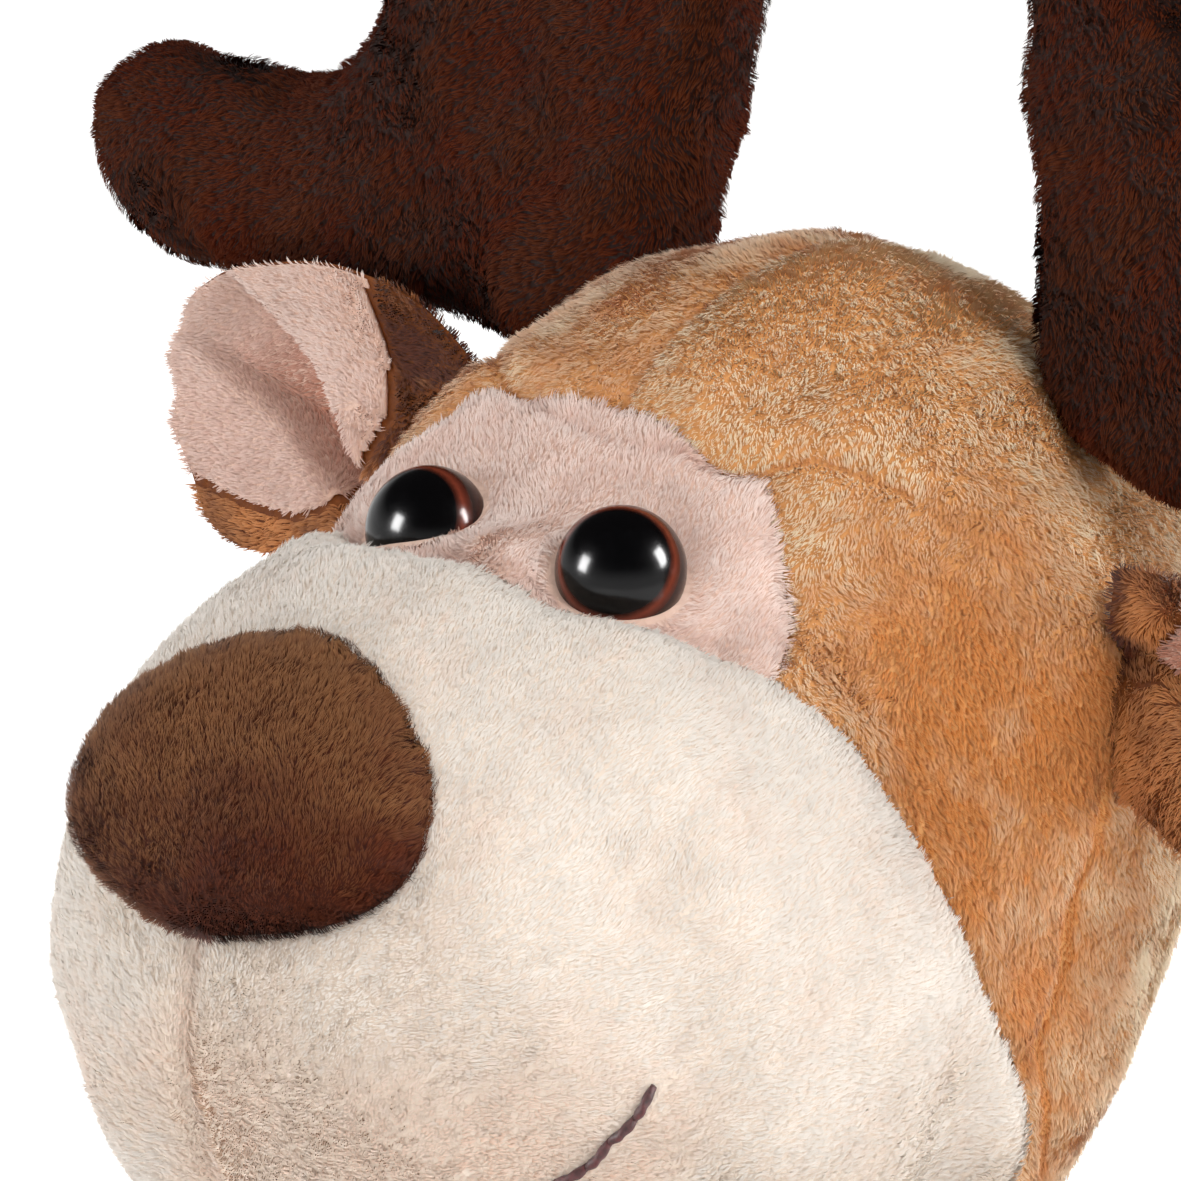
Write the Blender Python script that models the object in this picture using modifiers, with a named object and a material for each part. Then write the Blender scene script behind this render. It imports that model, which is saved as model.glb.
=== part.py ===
"""A seated plush deer: stuffed head with muzzle, antlers and ears, torso, arms and legs."""
import math

import bmesh
import bpy
import numpy as np
from mathutils import Matrix, Vector

# Lengths are in metres. The deer sits on z = 0 and faces -Y; its left side is +X.

# Fabric and the small gaps that touching pieces keep
FABRIC = 0.0015
SEAM_GAP = 0.0003
STUFFING_GAP = 0.0009
LAYER_GAP = 0.0008
SWEEP_GAP = 0.0007
LIMB_GAP = 0.0004

# The neck's height, which the head, arms and tail follow
NECK_HEIGHT = 0.1095

# Head: a muzzle ball and a cranium ball, blended; its place is from the top of the neck
MUZZLE_OFFSET = (0.0, -0.036, 0.0365)
MUZZLE_RADII = (0.045, 0.045, 0.041)
CRANIUM_OFFSET = (0.0, 0.035, 0.008)
CRANIUM_RADII = (0.044, 0.0415, 0.0505)
HEART_OFFSET = (0.0, 0.016, 0.004)
HEAD_BLEND = 0.006
EYE_HOLLOW = 0.0016
EYE_HOLLOW_ANGLE = 11.0

# Seams on the head: (angle round the muzzle axis, angle away from it), in degrees
MUZZLE_SEAM = ((-90, 84), (-70, 90), (-50, 102), (-28, 104), (-9, 94), (8, 85), (22, 79),
               (35, 73.5), (50, 65), (65, 54.5), (90, 52))
PATCH_SEAM = ((45, 68.5), (52, 79), (60, 83.5), (67.5, 86.5), (78, 84.5), (90, 85.5))
PATCH_CORNER = 45
SEAM_SAMPLES = 48
NECK_TILT = 122.0
NECK_ANGLE = 25.0
COVER_BEND_SHARE = 0.45

# Eyes: safety eyes with a shank and a washer behind the fabric
EYE_DIAMETER = 0.012
EYE_DOME = 0.0052
EYE_RIM = 0.0012
EYE_OFFSET = (0.0129, -0.0013, 0.0372)
EYE_FACING = (0.29, -0.48, 0.83)
SHANK_DIAMETER = 0.0032
SHANK_LENGTH = 0.011
WASHER_DIAMETER = 0.011
WASHER_THICKNESS = 0.0012
WASHER_DEPTH = 0.0075
WASHER_FIT = 0.00015

# Nose: a stuffed pad; its right half outline as (x, z) from the muzzle centre
NOSE_OUTLINE = ((0.0, 0.0094), (0.0110, 0.0114), (0.0165, 0.0136), (0.0193, 0.0165),
                (0.0198, 0.0195), (0.0185, 0.0235), (0.0150, 0.0270), (0.0080, 0.0310),
                (0.0, 0.0327))
NOSE_HEIGHT = 0.0055
NOSE_EDGE = 0.0010
NOSE_GAP = 0.0005

# Mouth: one line of embroidery, as (x, z) from the muzzle centre
MOUTH_LINE = ((0.0385, 0.0001), (0.0358, -0.0052), (0.0310, -0.0100), (0.0220, -0.0145),
              (0.0110, -0.0165), (0.0, -0.0160))
MOUTH_THREAD = 0.0009

# Antlers: a cage of cells in the plane of the antler, from the muzzle centre.
# The shares are of the reach across and of the height; cells go row by row from the bottom.
ANTLER_REACH = 0.113
ANTLER_HEIGHT = 0.117
ANTLER_COLUMN_SHARES = ((0.190, 0.191, 0.135, 0.104), (0.395, 0.355, 0.306, 0.288),
                        (0.490, 0.477, 0.410, 0.419), (0.599, 0.623, 0.565, 0.575),
                        (0.767, 0.781), (0.964, 1.0))
ANTLER_ROW_SHARES = (0.332, 0.538, 0.716, 1.0)
ANTLER_CELLS = ("xxxxx", "xxx", "x.x")
ANTLER_THICKNESS = 0.017
ANTLER_DEPTH = 0.0445
ANTLER_LEAN_SHARE = 0.12

# Ears: two layers of cloth, cupped forward
EAR_ROOT = (0.0365, 0.0375, 0.037)
EAR_LENGTH = 0.052
EAR_DROOP = 11.0
EAR_WIDTHS = ((0.0, 0.0065), (0.3, 0.0125), (0.6, 0.0160), (0.8, 0.0147), (0.92, 0.0106),
              (0.985, 0.0041))
EAR_CUPS = ((0.0, 0.011), (0.35, 0.008), (1.0, 0.003))
EAR_HINGE_REACH = 0.044

# Torso: half width and half depth at shares of the neck's height
TORSO_HEIGHT_SHARES = (0.0, 0.0274, 0.1279, 0.3105, 0.5023, 0.6849, 0.8402, 0.9406, 1.0)
TORSO_HALF_SIZES = ((0.036, 0.033), (0.0425, 0.0395), (0.050, 0.046), (0.054, 0.050),
                    (0.051, 0.047), (0.044, 0.040), (0.0345, 0.0325), (0.027, 0.0265),
                    (0.0235, 0.0235))
BAG_HEIGHT = 0.020
BAG_RADIUS = 0.036
TAIL_REACH = 0.056
TAIL_HEIGHT_SHARE = 0.3288
TAIL_RADII = (0.012, 0.017, 0.013)
TAIL_TILT = 25.0

# Arms, left side: centre line from the shoulder, and radii along it
SHOULDER_REACH = (0.030, -0.004)
SHOULDER_HEIGHT_SHARE = 0.8037
ARM_LINE = ((-0.008, 0.003, 0.006), (0.013, -0.005, -0.004), (0.031, -0.018, -0.020),
            (0.044, -0.033, -0.037))
ARM_RADII = (0.0110, 0.0130, 0.0135, 0.0145)
ARM_HOOF_SHARE = 0.70

# Legs, left side: centre line in shares of the leg's length from its root, and radii
LEG_LENGTH = 0.092
LEG_ROOT = (0.022, -0.012)
LEG_LINE_SHARES = ((0.0, 0.0), (0.109, -0.391), (0.207, -0.717), (0.283, -1.0))
LEG_HEIGHTS = (0.0225, 0.0215, 0.0215, 0.0230)
LEG_RADII = (0.0180, 0.0200, 0.0200, 0.0220)
LEG_HOOF_SHARE = 0.72
HIP = (0.026, -0.020, 0.0225)

# Joint ranges in degrees; positive lifts the limb or the muzzle
NOD_RANGE = (-12, 12)
ARM_RANGE = (-35, 45)
LEG_RANGE = (0, 25)
EAR_RANGE = (-15, 15)
NECK_PIVOT_DROP = 0.0084

# Counts
SWEEP_STEPS = 13
LIMB_SIDES = 14
TORSO_SIDES = 28
HEAD_RINGS = 12

COLOURS = {
    "tan": (0.52, 0.27, 0.11, 0.95),
    "cream": (0.78, 0.70, 0.60, 0.95),
    "pink": (0.74, 0.60, 0.52, 0.95),
    "brown": (0.075, 0.030, 0.018, 0.95),
    "nose_brown": (0.070, 0.022, 0.012, 0.90),
    "ear_brown": (0.33, 0.15, 0.06, 0.95),
    "eye": (0.035, 0.010, 0.006, 0.08),
    "washer": (0.80, 0.80, 0.78, 0.45),
    "thread": (0.070, 0.015, 0.013, 0.70),
    "fibre": (0.90, 0.90, 0.88, 1.0),
    "bag": (0.85, 0.84, 0.80, 0.90),
}

MUZZLE = np.array(MUZZLE_OFFSET) + np.array((0.0, 0.0, NECK_HEIGHT))
CRANIUM = MUZZLE + np.array(CRANIUM_OFFSET)
HEART = MUZZLE + np.array(HEART_OFFSET)
NECK_PIVOT = CRANIUM - np.array((0.0, 0.0, CRANIUM_OFFSET[2] + NECK_PIVOT_DROP))
TORSO_HEIGHTS = np.array(TORSO_HEIGHT_SHARES) * NECK_HEIGHT
TORSO_PROFILE = np.column_stack((TORSO_HEIGHTS, np.array(TORSO_HALF_SIZES)))
SHOULDER = np.array((*SHOULDER_REACH, SHOULDER_HEIGHT_SHARE * NECK_HEIGHT))
LEG_PLAN = np.array(LEG_ROOT) + np.array(LEG_LINE_SHARES) * LEG_LENGTH
LEG_LINE = np.column_stack((LEG_PLAN, LEG_HEIGHTS))


def clear_scene():
    for item in list(bpy.data.objects):
        bpy.data.objects.remove(item, do_unlink=True)


def make_material(name, values):
    material = bpy.data.materials.new(name)
    material.use_nodes = True
    shader = material.node_tree.nodes["Principled BSDF"]
    shader.inputs["Base Color"].default_value = (values[0], values[1], values[2], 1.0)
    shader.inputs["Roughness"].default_value = values[3]
    shader.inputs["Metallic"].default_value = 0.0
    return material


def finish(name, bm, colour, collection):
    """Turn a bmesh into a closed, outward-facing object with its own material."""
    bmesh.ops.recalc_face_normals(bm, faces=bm.faces)
    if not name.startswith("antler"):
        bmesh.ops.triangulate(bm, faces=bm.faces, quad_method="SHORT_EDGE")
    mesh = bpy.data.meshes.new(name)
    bm.to_mesh(mesh)
    bm.free()
    item = bpy.data.objects.new(name, mesh)
    collection.objects.link(item)
    mesh.materials.append(make_material(name, COLOURS[colour]))
    return item


def loft(loops, start_pole=None, end_pole=None, ring=False, sheet=False):
    """Join closed loops of points into a skin, with poles, caps or a ring at its ends.

    In a sheet each loop runs along its front and returns along its back.
    """
    bm = bmesh.new()
    rows = [[bm.verts.new(point) for point in loop] for loop in loops]
    pairs = list(zip(rows[:-1], rows[1:]))
    if ring:
        pairs.append((rows[-1], rows[0]))
    for low, high in pairs:
        for i in range(len(low)):
            j = (i + 1) % len(low)
            bm.faces.new((low[i], low[j], high[j], high[i]))
    for row, pole in ((rows[0], start_pole), (rows[-1], end_pole)):
        if ring:
            continue
        if sheet:
            for i in range(len(row) // 2 - 1):
                bm.faces.new((row[i], row[i + 1], row[-2 - i], row[-1 - i]))
            continue
        if pole is None:
            bm.faces.new(row)
            continue
        tip = bm.verts.new(pole)
        for i in range(len(row)):
            bm.faces.new((row[i], row[(i + 1) % len(row)], tip))
    return bm


def smooth_curve(knots, samples):
    """Values of a smooth curve through knots (position, value, ...) at the samples."""
    table = np.array(knots, float)
    x, y = table[:, 0], table[:, 1:]
    slope = np.gradient(y, x, axis=0)
    place = np.clip(np.searchsorted(x, samples) - 1, 0, len(x) - 2)
    width = (x[place + 1] - x[place])[:, None]
    t = ((samples - x[place]) / width[:, 0])[:, None]
    blend = t * t * (3 - 2 * t)
    straight = y[place] * (1 - blend) + y[place + 1] * blend
    bend = t * (1 - t) ** 2 * slope[place] - t * t * (1 - t) * slope[place + 1]
    return straight + bend * width


def unit(vectors):
    vectors = np.asarray(vectors, float)
    return vectors / np.linalg.norm(vectors, axis=-1, keepdims=True)


def rotation(axis, degrees, pivot):
    turn = Matrix.Rotation(math.radians(degrees), 4, Vector(axis))
    centre = Matrix.Translation(Vector(pivot))
    return centre @ turn @ centre.inverted()


# The head's skin, as a distance from the heart of the head along each direction

def ball_reach(directions, centre, radii):
    start = (HEART - centre) / np.array(radii)
    step = directions / np.array(radii)
    a = (step * step).sum(-1)
    b = (step * start).sum(-1)
    c = (start * start).sum() - 1
    return (-b + np.sqrt(b * b - a * c)) / a


def head_reach(directions):
    muzzle = ball_reach(directions, MUZZLE, MUZZLE_RADII)
    cranium = ball_reach(directions, CRANIUM, CRANIUM_RADII)
    near = np.maximum(HEAD_BLEND - np.abs(muzzle - cranium), 0) / HEAD_BLEND
    reach = np.maximum(muzzle, cranium) + near * near * HEAD_BLEND / 4
    for side in (1, -1):
        eye = MUZZLE + np.array(EYE_OFFSET) * (side, 1, 1)
        towards = unit(eye - HEART)
        angle = np.degrees(np.arccos(np.clip(directions @ towards, -1, 1)))
        reach = reach - EYE_HOLLOW * np.exp(-((angle / EYE_HOLLOW_ANGLE) ** 2))
    return reach


def head_points(directions, lift=0.0):
    return HEART + directions * (head_reach(directions) + lift)[..., None]


def seam_direction(around, away):
    around, away = np.radians(around), np.radians(away)
    return np.stack([np.sin(away) * np.cos(around), -np.cos(away),
                     np.sin(away) * np.sin(around)], -1)


def seam_loops():
    """The muzzle's seam, the face patch's seam and the tan cover's front seam."""
    around = -90 + 360 * np.arange(SEAM_SAMPLES) / SEAM_SAMPLES
    mirrored = np.where(around > 90, 180 - around, around)
    away = smooth_curve(MUZZLE_SEAM, mirrored)[:, 0]
    inside = np.flatnonzero(mirrored > PATCH_CORNER)
    top = away.copy()
    top[inside] = smooth_curve(PATCH_SEAM, mirrored[inside])[:, 0]
    muzzle = seam_direction(around, away)
    crown = seam_direction(around, top)
    lower = np.arange(inside[0] - 1, inside[-1] + 2)
    patch = np.concatenate([muzzle[lower], crown[inside][::-1]])
    return muzzle, patch, crown, around, top


def slide(directions, centre, angle):
    """Turn directions towards a centre, or one each, by an angle in radians."""
    side = unit(centre - directions * (directions * centre).sum(-1)[:, None])
    return directions * math.cos(angle) + side * math.sin(angle)


def between(start, end, share):
    angle = np.arccos(np.clip((start * end).sum(-1), -1, 1))[:, None]
    return (np.sin((1 - share) * angle) * start + np.sin(share * angle) * end) / np.sin(angle)


def fabric_disc(name, border, rings, colour, collection):
    """A closed sheet of fabric on the head inside a border of directions."""
    centre = unit(border.mean(0))
    gap = SEAM_GAP / 2 / MUZZLE_RADII[1]
    border = slide(border, centre, gap)
    start = np.broadcast_to(centre, border.shape)
    spread = [between(start, border, (k + 1) / rings) for k in range(rings)]
    outer = [head_points(d) for d in spread]
    inner = [head_points(d, -FABRIC) for d in spread]
    tips = [head_points(centre[None], lift)[0] for lift in (0.0, -FABRIC)]
    bm = loft(outer + inner[::-1], tips[0], tips[1])
    return finish(name, bm, colour, collection)


def head_blob(lift, sides, rows):
    """The head as one closed solid, its skin moved by a lift."""
    turn = 2 * math.pi * np.arange(sides) / sides
    loops = []
    for k in range(1, rows):
        polar = math.pi * k / rows
        ring = np.stack([np.sin(polar) * np.cos(turn), np.sin(polar) * np.sin(turn),
                         np.full(sides, np.cos(polar))], -1)
        loops.append(head_points(ring, lift))
    poles = [head_points(np.array([[0.0, 0.0, end]]), lift)[0] for end in (1.0, -1.0)]
    return loft(loops, poles[0], poles[1])


def head_cover(crown, around, away, collection):
    """The tan cover, from the face seams over the head to the neck opening."""
    neck = seam_direction(-90.0, NECK_TILT)
    forward = seam_direction(-90.0, NECK_TILT - 90)
    turn = np.radians(around + 90)[:, None]
    side = np.cos(turn) * forward + np.sin(turn) * np.array((1.0, 0.0, 0.0))
    angle = math.radians(NECK_ANGLE)
    rim = neck * math.cos(angle) + side * math.sin(angle)
    span = np.degrees(np.arccos(np.clip((crown * rim).sum(-1), -1, 1)))
    over = seam_direction(around, away + COVER_BEND_SHARE * span)
    front = slide(crown, over, SEAM_GAP / 2 / CRANIUM_RADII[1])
    t = np.linspace(0, 1, 80)[:, None, None]
    path = unit((1 - t) ** 2 * front + 2 * t * (1 - t) * over + t * t * rim)
    step = np.linalg.norm(np.diff(path, axis=0), axis=-1)
    walked = np.concatenate([np.zeros((1, len(front))), np.cumsum(step, axis=0)])
    spread = np.empty((HEAD_RINGS + 1, len(front), 3))
    for i in range(len(front)):
        stops = np.linspace(0, walked[-1, i], HEAD_RINGS + 1)
        for axis in range(3):
            spread[:, i, axis] = np.interp(stops, walked[:, i], path[:, i, axis])
    spread = unit(spread)
    outer = [head_points(d) for d in spread]
    inner = [head_points(d, -FABRIC) for d in spread]
    bm = loft(outer + inner[::-1], ring=True)
    return finish("head_cover", bm, "tan", collection)


# Cutting one solid by another

def cut(target, bm, transform=None):
    mesh = bpy.data.meshes.new("cutter")
    bmesh.ops.recalc_face_normals(bm, faces=bm.faces)
    if transform is not None:
        bm.transform(transform)
    bm.to_mesh(mesh)
    bm.free()
    cutter = bpy.data.objects.new("cutter", mesh)
    bpy.context.scene.collection.objects.link(cutter)
    modifier = target.modifiers.new("Cut", "BOOLEAN")
    modifier.operation = "DIFFERENCE"
    modifier.solver = "EXACT"
    modifier.object = cutter
    graph = bpy.context.evaluated_depsgraph_get()
    result = bpy.data.meshes.new_from_object(target.evaluated_get(graph))
    target.modifiers.remove(modifier)
    old = target.data
    target.data = result
    bpy.data.meshes.remove(old)
    bpy.data.objects.remove(cutter, do_unlink=True)
    bpy.data.meshes.remove(mesh)


def turns(axis, limits, pivot):
    """The turns of a joint over its range, as rotations about its axis."""
    angles = np.linspace(limits[0], limits[1], SWEEP_STEPS)
    return [np.array(rotation(axis, angle, pivot)) for angle in angles]


def within(points, blocked, motion):
    """Whether points meet the blocked space anywhere in a motion."""
    hit = np.zeros(points.shape[:-1], bool)
    for turn in motion:
        hit |= blocked(points @ turn[:3, :3].T + turn[:3, 3])
    return hit


def inside_head(grow):
    def test(points):
        away = points - HEART
        distance = np.linalg.norm(away, axis=-1)
        return distance < head_reach(away / distance[..., None]) + grow
    return test


def inside_torso(grow):
    def test(points):
        height = np.clip(points[..., 2], 0.0, NECK_HEIGHT)
        size = smooth_curve(TORSO_PROFILE, height.ravel()).reshape(*height.shape, 2) + grow
        reach = (points[..., 0] / size[..., 0]) ** 2 + (points[..., 1] / size[..., 1]) ** 2
        return (reach < 1) & (points[..., 2] < NECK_HEIGHT + grow)
    return test


def emerge(strands, blocked, motion, count):
    """Trim strands (dense points, root first) where they leave a blocked space.

    Gives loops across the strands, evenly spread from there to the strands' ends.
    """
    hit = within(strands, blocked, motion)
    last = len(strands) - 1
    place = np.arange(last + 1)[:, None]
    start = np.where(hit.any(0), (hit * place).max(0) + 1, 0)
    loops = []
    for k in range(count):
        spot = start + (last - start) * k / (count - 1)
        low = np.minimum(spot.astype(int), last - 1)
        share = (spot - low)[:, None]
        each = np.arange(strands.shape[1])
        loops.append(strands[low, each] * (1 - share) + strands[low + 1, each] * share)
    return loops


# Head pieces

def eye_frame(side):
    facing = unit(np.array(EYE_FACING) * (side, 1, 1))
    centre = MUZZLE + np.array(EYE_OFFSET) * (side, 1, 1)
    across = unit(np.cross(facing, (0.0, 0.0, 1.0)))
    upward = np.cross(across, facing)
    return centre, facing, across, upward


def turned(side, profile, sides):
    """A solid turned round an eye's axis from (radius, height) steps."""
    centre, facing, across, upward = eye_frame(side)
    turn = 2 * math.pi * np.arange(sides) / sides
    circle = np.cos(turn)[:, None] * across + np.sin(turn)[:, None] * upward
    loops = [centre + facing * height + circle * radius for radius, height in profile]
    return loops


def eye_profile(grow):
    """Half outline of an eye from its dome to its shank's end, grown by a gap."""
    radius = EYE_DIAMETER / 2 + grow
    dome = [(radius * math.cos(a), (EYE_DOME + grow) * math.sin(a))
            for a in np.radians((78, 60, 42, 22, 0))]
    back = -EYE_RIM - grow
    shank = SHANK_DIAMETER / 2 + grow
    return dome + [(radius, back), (shank, back), (shank, back - SHANK_LENGTH)]


def make_eye(side, name, collection):
    loops = turned(side, eye_profile(0.0), 20)
    centre, facing, _, _ = eye_frame(side)
    bm = loft(loops, centre + facing * EYE_DOME)
    finish("eye_" + name, bm, "eye", collection)
    depth = -WASHER_DEPTH
    hole = SHANK_DIAMETER / 2 + WASHER_FIT
    wide = WASHER_DIAMETER / 2
    ring = [(hole, depth), (wide, depth), (wide, depth - WASHER_THICKNESS),
            (hole, depth - WASHER_THICKNESS)]
    finish("washer_" + name, loft(turned(side, ring, 16), ring=True), "washer", collection)


def eye_cutter(side):
    centre, facing, _, _ = eye_frame(side)
    loops = turned(side, eye_profile(SEAM_GAP), 20)
    return loft(loops, centre + facing * (EYE_DOME + SEAM_GAP))


def washer_cutter(side):
    wide = WASHER_DIAMETER / 2 + SEAM_GAP
    top = -WASHER_DEPTH + SEAM_GAP
    bottom = -WASHER_DEPTH - WASHER_THICKNESS - SEAM_GAP
    return loft(turned(side, [(wide, top), (wide, bottom)], 20))


def muzzle_skin(x, z, lift):
    """Points of the muzzle in front of (x, z), both from the muzzle centre."""
    a, b, c = MUZZLE_RADII
    y = -b * np.sqrt(1 - (x / a) ** 2 - (z / c) ** 2)
    towards = unit(MUZZLE + np.stack([x, y, z], -1) - HEART)
    return head_points(towards, lift)


def make_nose(collection):
    half = np.array(NOSE_OUTLINE)
    left = half[1:-1][::-1] * (-1, 1)
    outline = np.concatenate([half, left])
    middle = np.array((0.0, half[:, 1].mean()))
    steps = ((0.0, 1.0), (0.35, 0.98), (0.62, 0.88), (0.84, 0.62), (0.97, 0.30))
    loops = []
    for share, height in steps[1:]:
        flat = middle + (outline - middle) * share
        lift = NOSE_EDGE + (NOSE_HEIGHT - NOSE_EDGE) * height
        loops.append(muzzle_skin(flat[:, 0], flat[:, 1], NOSE_GAP + lift))
    loops.append(muzzle_skin(outline[:, 0], outline[:, 1], NOSE_GAP + NOSE_EDGE / 2))
    for share in (0.97, 0.66, 0.33):
        flat = middle + (outline - middle) * share
        loops.append(muzzle_skin(flat[:, 0], flat[:, 1], np.full(len(flat), NOSE_GAP)))
    spot = middle[None]
    tip = muzzle_skin(spot[:, 0], spot[:, 1], NOSE_GAP + NOSE_HEIGHT)[0]
    base = muzzle_skin(spot[:, 0], spot[:, 1], NOSE_GAP)[0]
    finish("nose", loft(loops, tip, base), "nose_brown", collection)


def make_mouth(collection):
    half = np.array(MOUTH_LINE)
    line = np.concatenate([half, half[:-1][::-1] * (-1, 1)])
    reach = np.concatenate([[0], np.cumsum(np.linalg.norm(np.diff(line, axis=0), axis=1))])
    at = np.linspace(0, reach[-1], 33)
    flat = smooth_curve(np.column_stack([reach, line]), at)
    centre = muzzle_skin(flat[:, 0], flat[:, 1], SEAM_GAP + MOUTH_THREAD / 2)
    finish("mouth_thread", tube(centre, np.full(33, MOUTH_THREAD / 2), 6), "thread", collection)


def tube_loops(centre, radii, sides):
    """Circles square to a centre line, turned so that they don't twist."""
    along = unit(np.gradient(centre, axis=0))
    side = unit(np.cross(along[0], (0.0, 0.3, 1.0)))
    turn = 2 * math.pi * np.arange(sides) / sides
    loops = []
    for point, direction, radius in zip(centre, along, radii):
        side = unit(side - direction * (side @ direction))
        other = np.cross(direction, side)
        circle = np.cos(turn)[:, None] * side + np.sin(turn)[:, None] * other
        loops.append(point + circle * radius)
    return loops


def tube(centre, radii, sides):
    return loft(tube_loops(centre, radii, sides))


def make_antler(side, name, collection):
    """A flat cage of cells, given a thickness and subdivided into a stuffed form."""
    bm = bmesh.new()
    corners = {}

    def corner(column, row, layer):
        key = (column, row, layer)
        if key not in corners:
            x = ANTLER_COLUMN_SHARES[column][row] * ANTLER_REACH
            z = ANTLER_ROW_SHARES[row] * ANTLER_HEIGHT
            lean = ANTLER_LEAN_SHARE * (z - ANTLER_ROW_SHARES[0] * ANTLER_HEIGHT)
            y = ANTLER_DEPTH + lean + layer * ANTLER_THICKNESS / 2
            corners[key] = bm.verts.new(MUZZLE + np.array((side * x, y, z)))
        return corners[key]

    count = {}
    cells = [(column, row) for row, marks in enumerate(ANTLER_CELLS)
             for column, mark in enumerate(marks) if mark == "x"]
    for column, row in cells:
        ends = ((column, row), (column + 1, row), (column + 1, row + 1), (column, row + 1))
        for layer in (-1, 1):
            bm.faces.new([corner(c, r, layer) for c, r in ends])
        for a, b in zip(ends, ends[1:] + ends[:1]):
            count.setdefault(frozenset((a, b)), []).append((a, b))
    for sides in count.values():
        if len(sides) == 1:
            (a, b), = sides
            bm.faces.new((corner(*a, -1), corner(*b, -1), corner(*b, 1), corner(*a, 1)))
    antler = finish("antler_" + name, bm, "brown", collection)
    swell = antler.modifiers.new("Swell", "SUBSURF")
    swell.levels = 2
    swell.render_levels = 2
    graph = bpy.context.evaluated_depsgraph_get()
    antler.data = bpy.data.meshes.new_from_object(antler.evaluated_get(graph))
    antler.modifiers.clear()
    cut(antler, head_blob(SEAM_GAP, 40, 26))


def ear_sections(side, lift, count):
    """Dense cross-sections of one ear layer's face, from its root to its tip."""
    droop = math.radians(EAR_DROOP)
    along = np.array((side * math.cos(droop), 0.0, -math.sin(droop)))
    across = np.array((side * math.sin(droop), 0.0, math.cos(droop)))
    forward = np.array((0.0, -1.0, 0.0))
    root = MUZZLE + np.array(EAR_ROOT) * (side, 1, 1)
    shares = np.linspace(0, EAR_WIDTHS[-1][0], count)
    widths = smooth_curve(EAR_WIDTHS, shares)[:, 0]
    cups = smooth_curve(EAR_CUPS, shares)[:, 0]
    places = np.linspace(-1, 1, 9)
    sections = []
    for share, width, cup in zip(shares, widths, cups):
        rise = (cup * places ** 2 + lift)[:, None] * forward
        sections.append(root + along * EAR_LENGTH * share + places[:, None] * width * across + rise)
    return np.array(sections)


def make_ear(side, name, collection):
    hinge = MUZZLE + np.array((side * EAR_HINGE_REACH, EAR_ROOT[1], EAR_ROOT[2]))
    motion = turns((0, 0, 1), EAR_RANGE, hinge)
    layers = (("ear_inner_", "pink", LAYER_GAP / 2),
              ("ear_outer_", "ear_brown", -FABRIC - LAYER_GAP / 2))
    for label, colour, lift in layers:
        front = ear_sections(side, lift + FABRIC, 160)
        back = ear_sections(side, lift, 160)
        strands = np.concatenate([front, back[:, ::-1]], 1)
        loops = emerge(strands, inside_head(SEAM_GAP), motion, 8)
        finish(label + name, loft(loops, sheet=True), colour, collection)


def make_head(collection):
    muzzle, patch, crown, around, away = seam_loops()
    cover = head_cover(crown, around, away, collection)
    muzzle_cover = fabric_disc("muzzle_cover", muzzle, 7, "cream", collection)
    face_patch = fabric_disc("face_patch", patch, 3, "pink", collection)
    stuffing = finish("head_stuffing", head_blob(-FABRIC - STUFFING_GAP, 32, 22), "fibre",
                      collection)
    for side, name in ((1, "left"), (-1, "right")):
        make_eye(side, name, collection)
        for layer in (cover, muzzle_cover, face_patch, stuffing):
            cut(layer, eye_cutter(side))
        cut(stuffing, washer_cutter(side))
        make_ear(side, name, collection)
        make_antler(side, name, collection)
    make_nose(collection)
    make_mouth(collection)


# Torso pieces

def torso_loops(inset, bottom, top, rings):
    """Level loops of the torso's skin, moved in by an inset, from bottom to top."""
    heights = np.linspace(bottom, top, rings)
    if bottom == 0.0:
        heights[1] = TORSO_PROFILE[1][0]
    size = smooth_curve(TORSO_PROFILE, heights) - inset
    turn = 2 * math.pi * np.arange(TORSO_SIDES) / TORSO_SIDES
    loops = []
    for height, (wide, deep) in zip(heights, size):
        loops.append(np.stack([wide * np.cos(turn), deep * np.sin(turn),
                               np.full(TORSO_SIDES, height)], -1))
    return loops


def torso_blob(grow):
    loops = torso_loops(-grow, 0.0, NECK_HEIGHT, 13)
    loops[0][:, 2] -= grow
    return loft(loops, (0, 0, -grow), (0, 0, NECK_HEIGHT + grow))


def under_head(inset, bottom, rings, motion, dish=()):
    """Torso loops that stop below the nodding head, with a dish of inner loops."""
    tall = np.array(torso_loops(inset, bottom, NECK_HEIGHT, 160))
    blocked = inside_head(SWEEP_GAP)
    top = emerge(tall[::-1], blocked, motion, 2)[0]
    loops = torso_loops(inset, bottom, NECK_HEIGHT, rings)
    rise = (top[:, 2] - bottom) / (NECK_HEIGHT - bottom)
    size = smooth_curve(TORSO_PROFILE, np.linspace(bottom, NECK_HEIGHT, 400)) - inset
    grid = np.linspace(bottom, NECK_HEIGHT, 400)
    turn = 2 * math.pi * np.arange(TORSO_SIDES) / TORSO_SIDES
    for loop in loops[2:]:
        loop[:, 2] = bottom + (loop[:, 2] - bottom) * rise
        loop[:, 0] = np.interp(loop[:, 2], grid, size[:, 0]) * np.cos(turn)
        loop[:, 1] = np.interp(loop[:, 2], grid, size[:, 1]) * np.sin(turn)
    for share in dish:
        column = np.repeat((loops[rings - 1] * (share, share, 1))[None], 160, 0)
        column[:, :, 2] = np.linspace(bottom, NECK_HEIGHT, 160)[:, None]
        loops.append(emerge(column[::-1], blocked, motion, 2)[0])
    return loops


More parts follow.
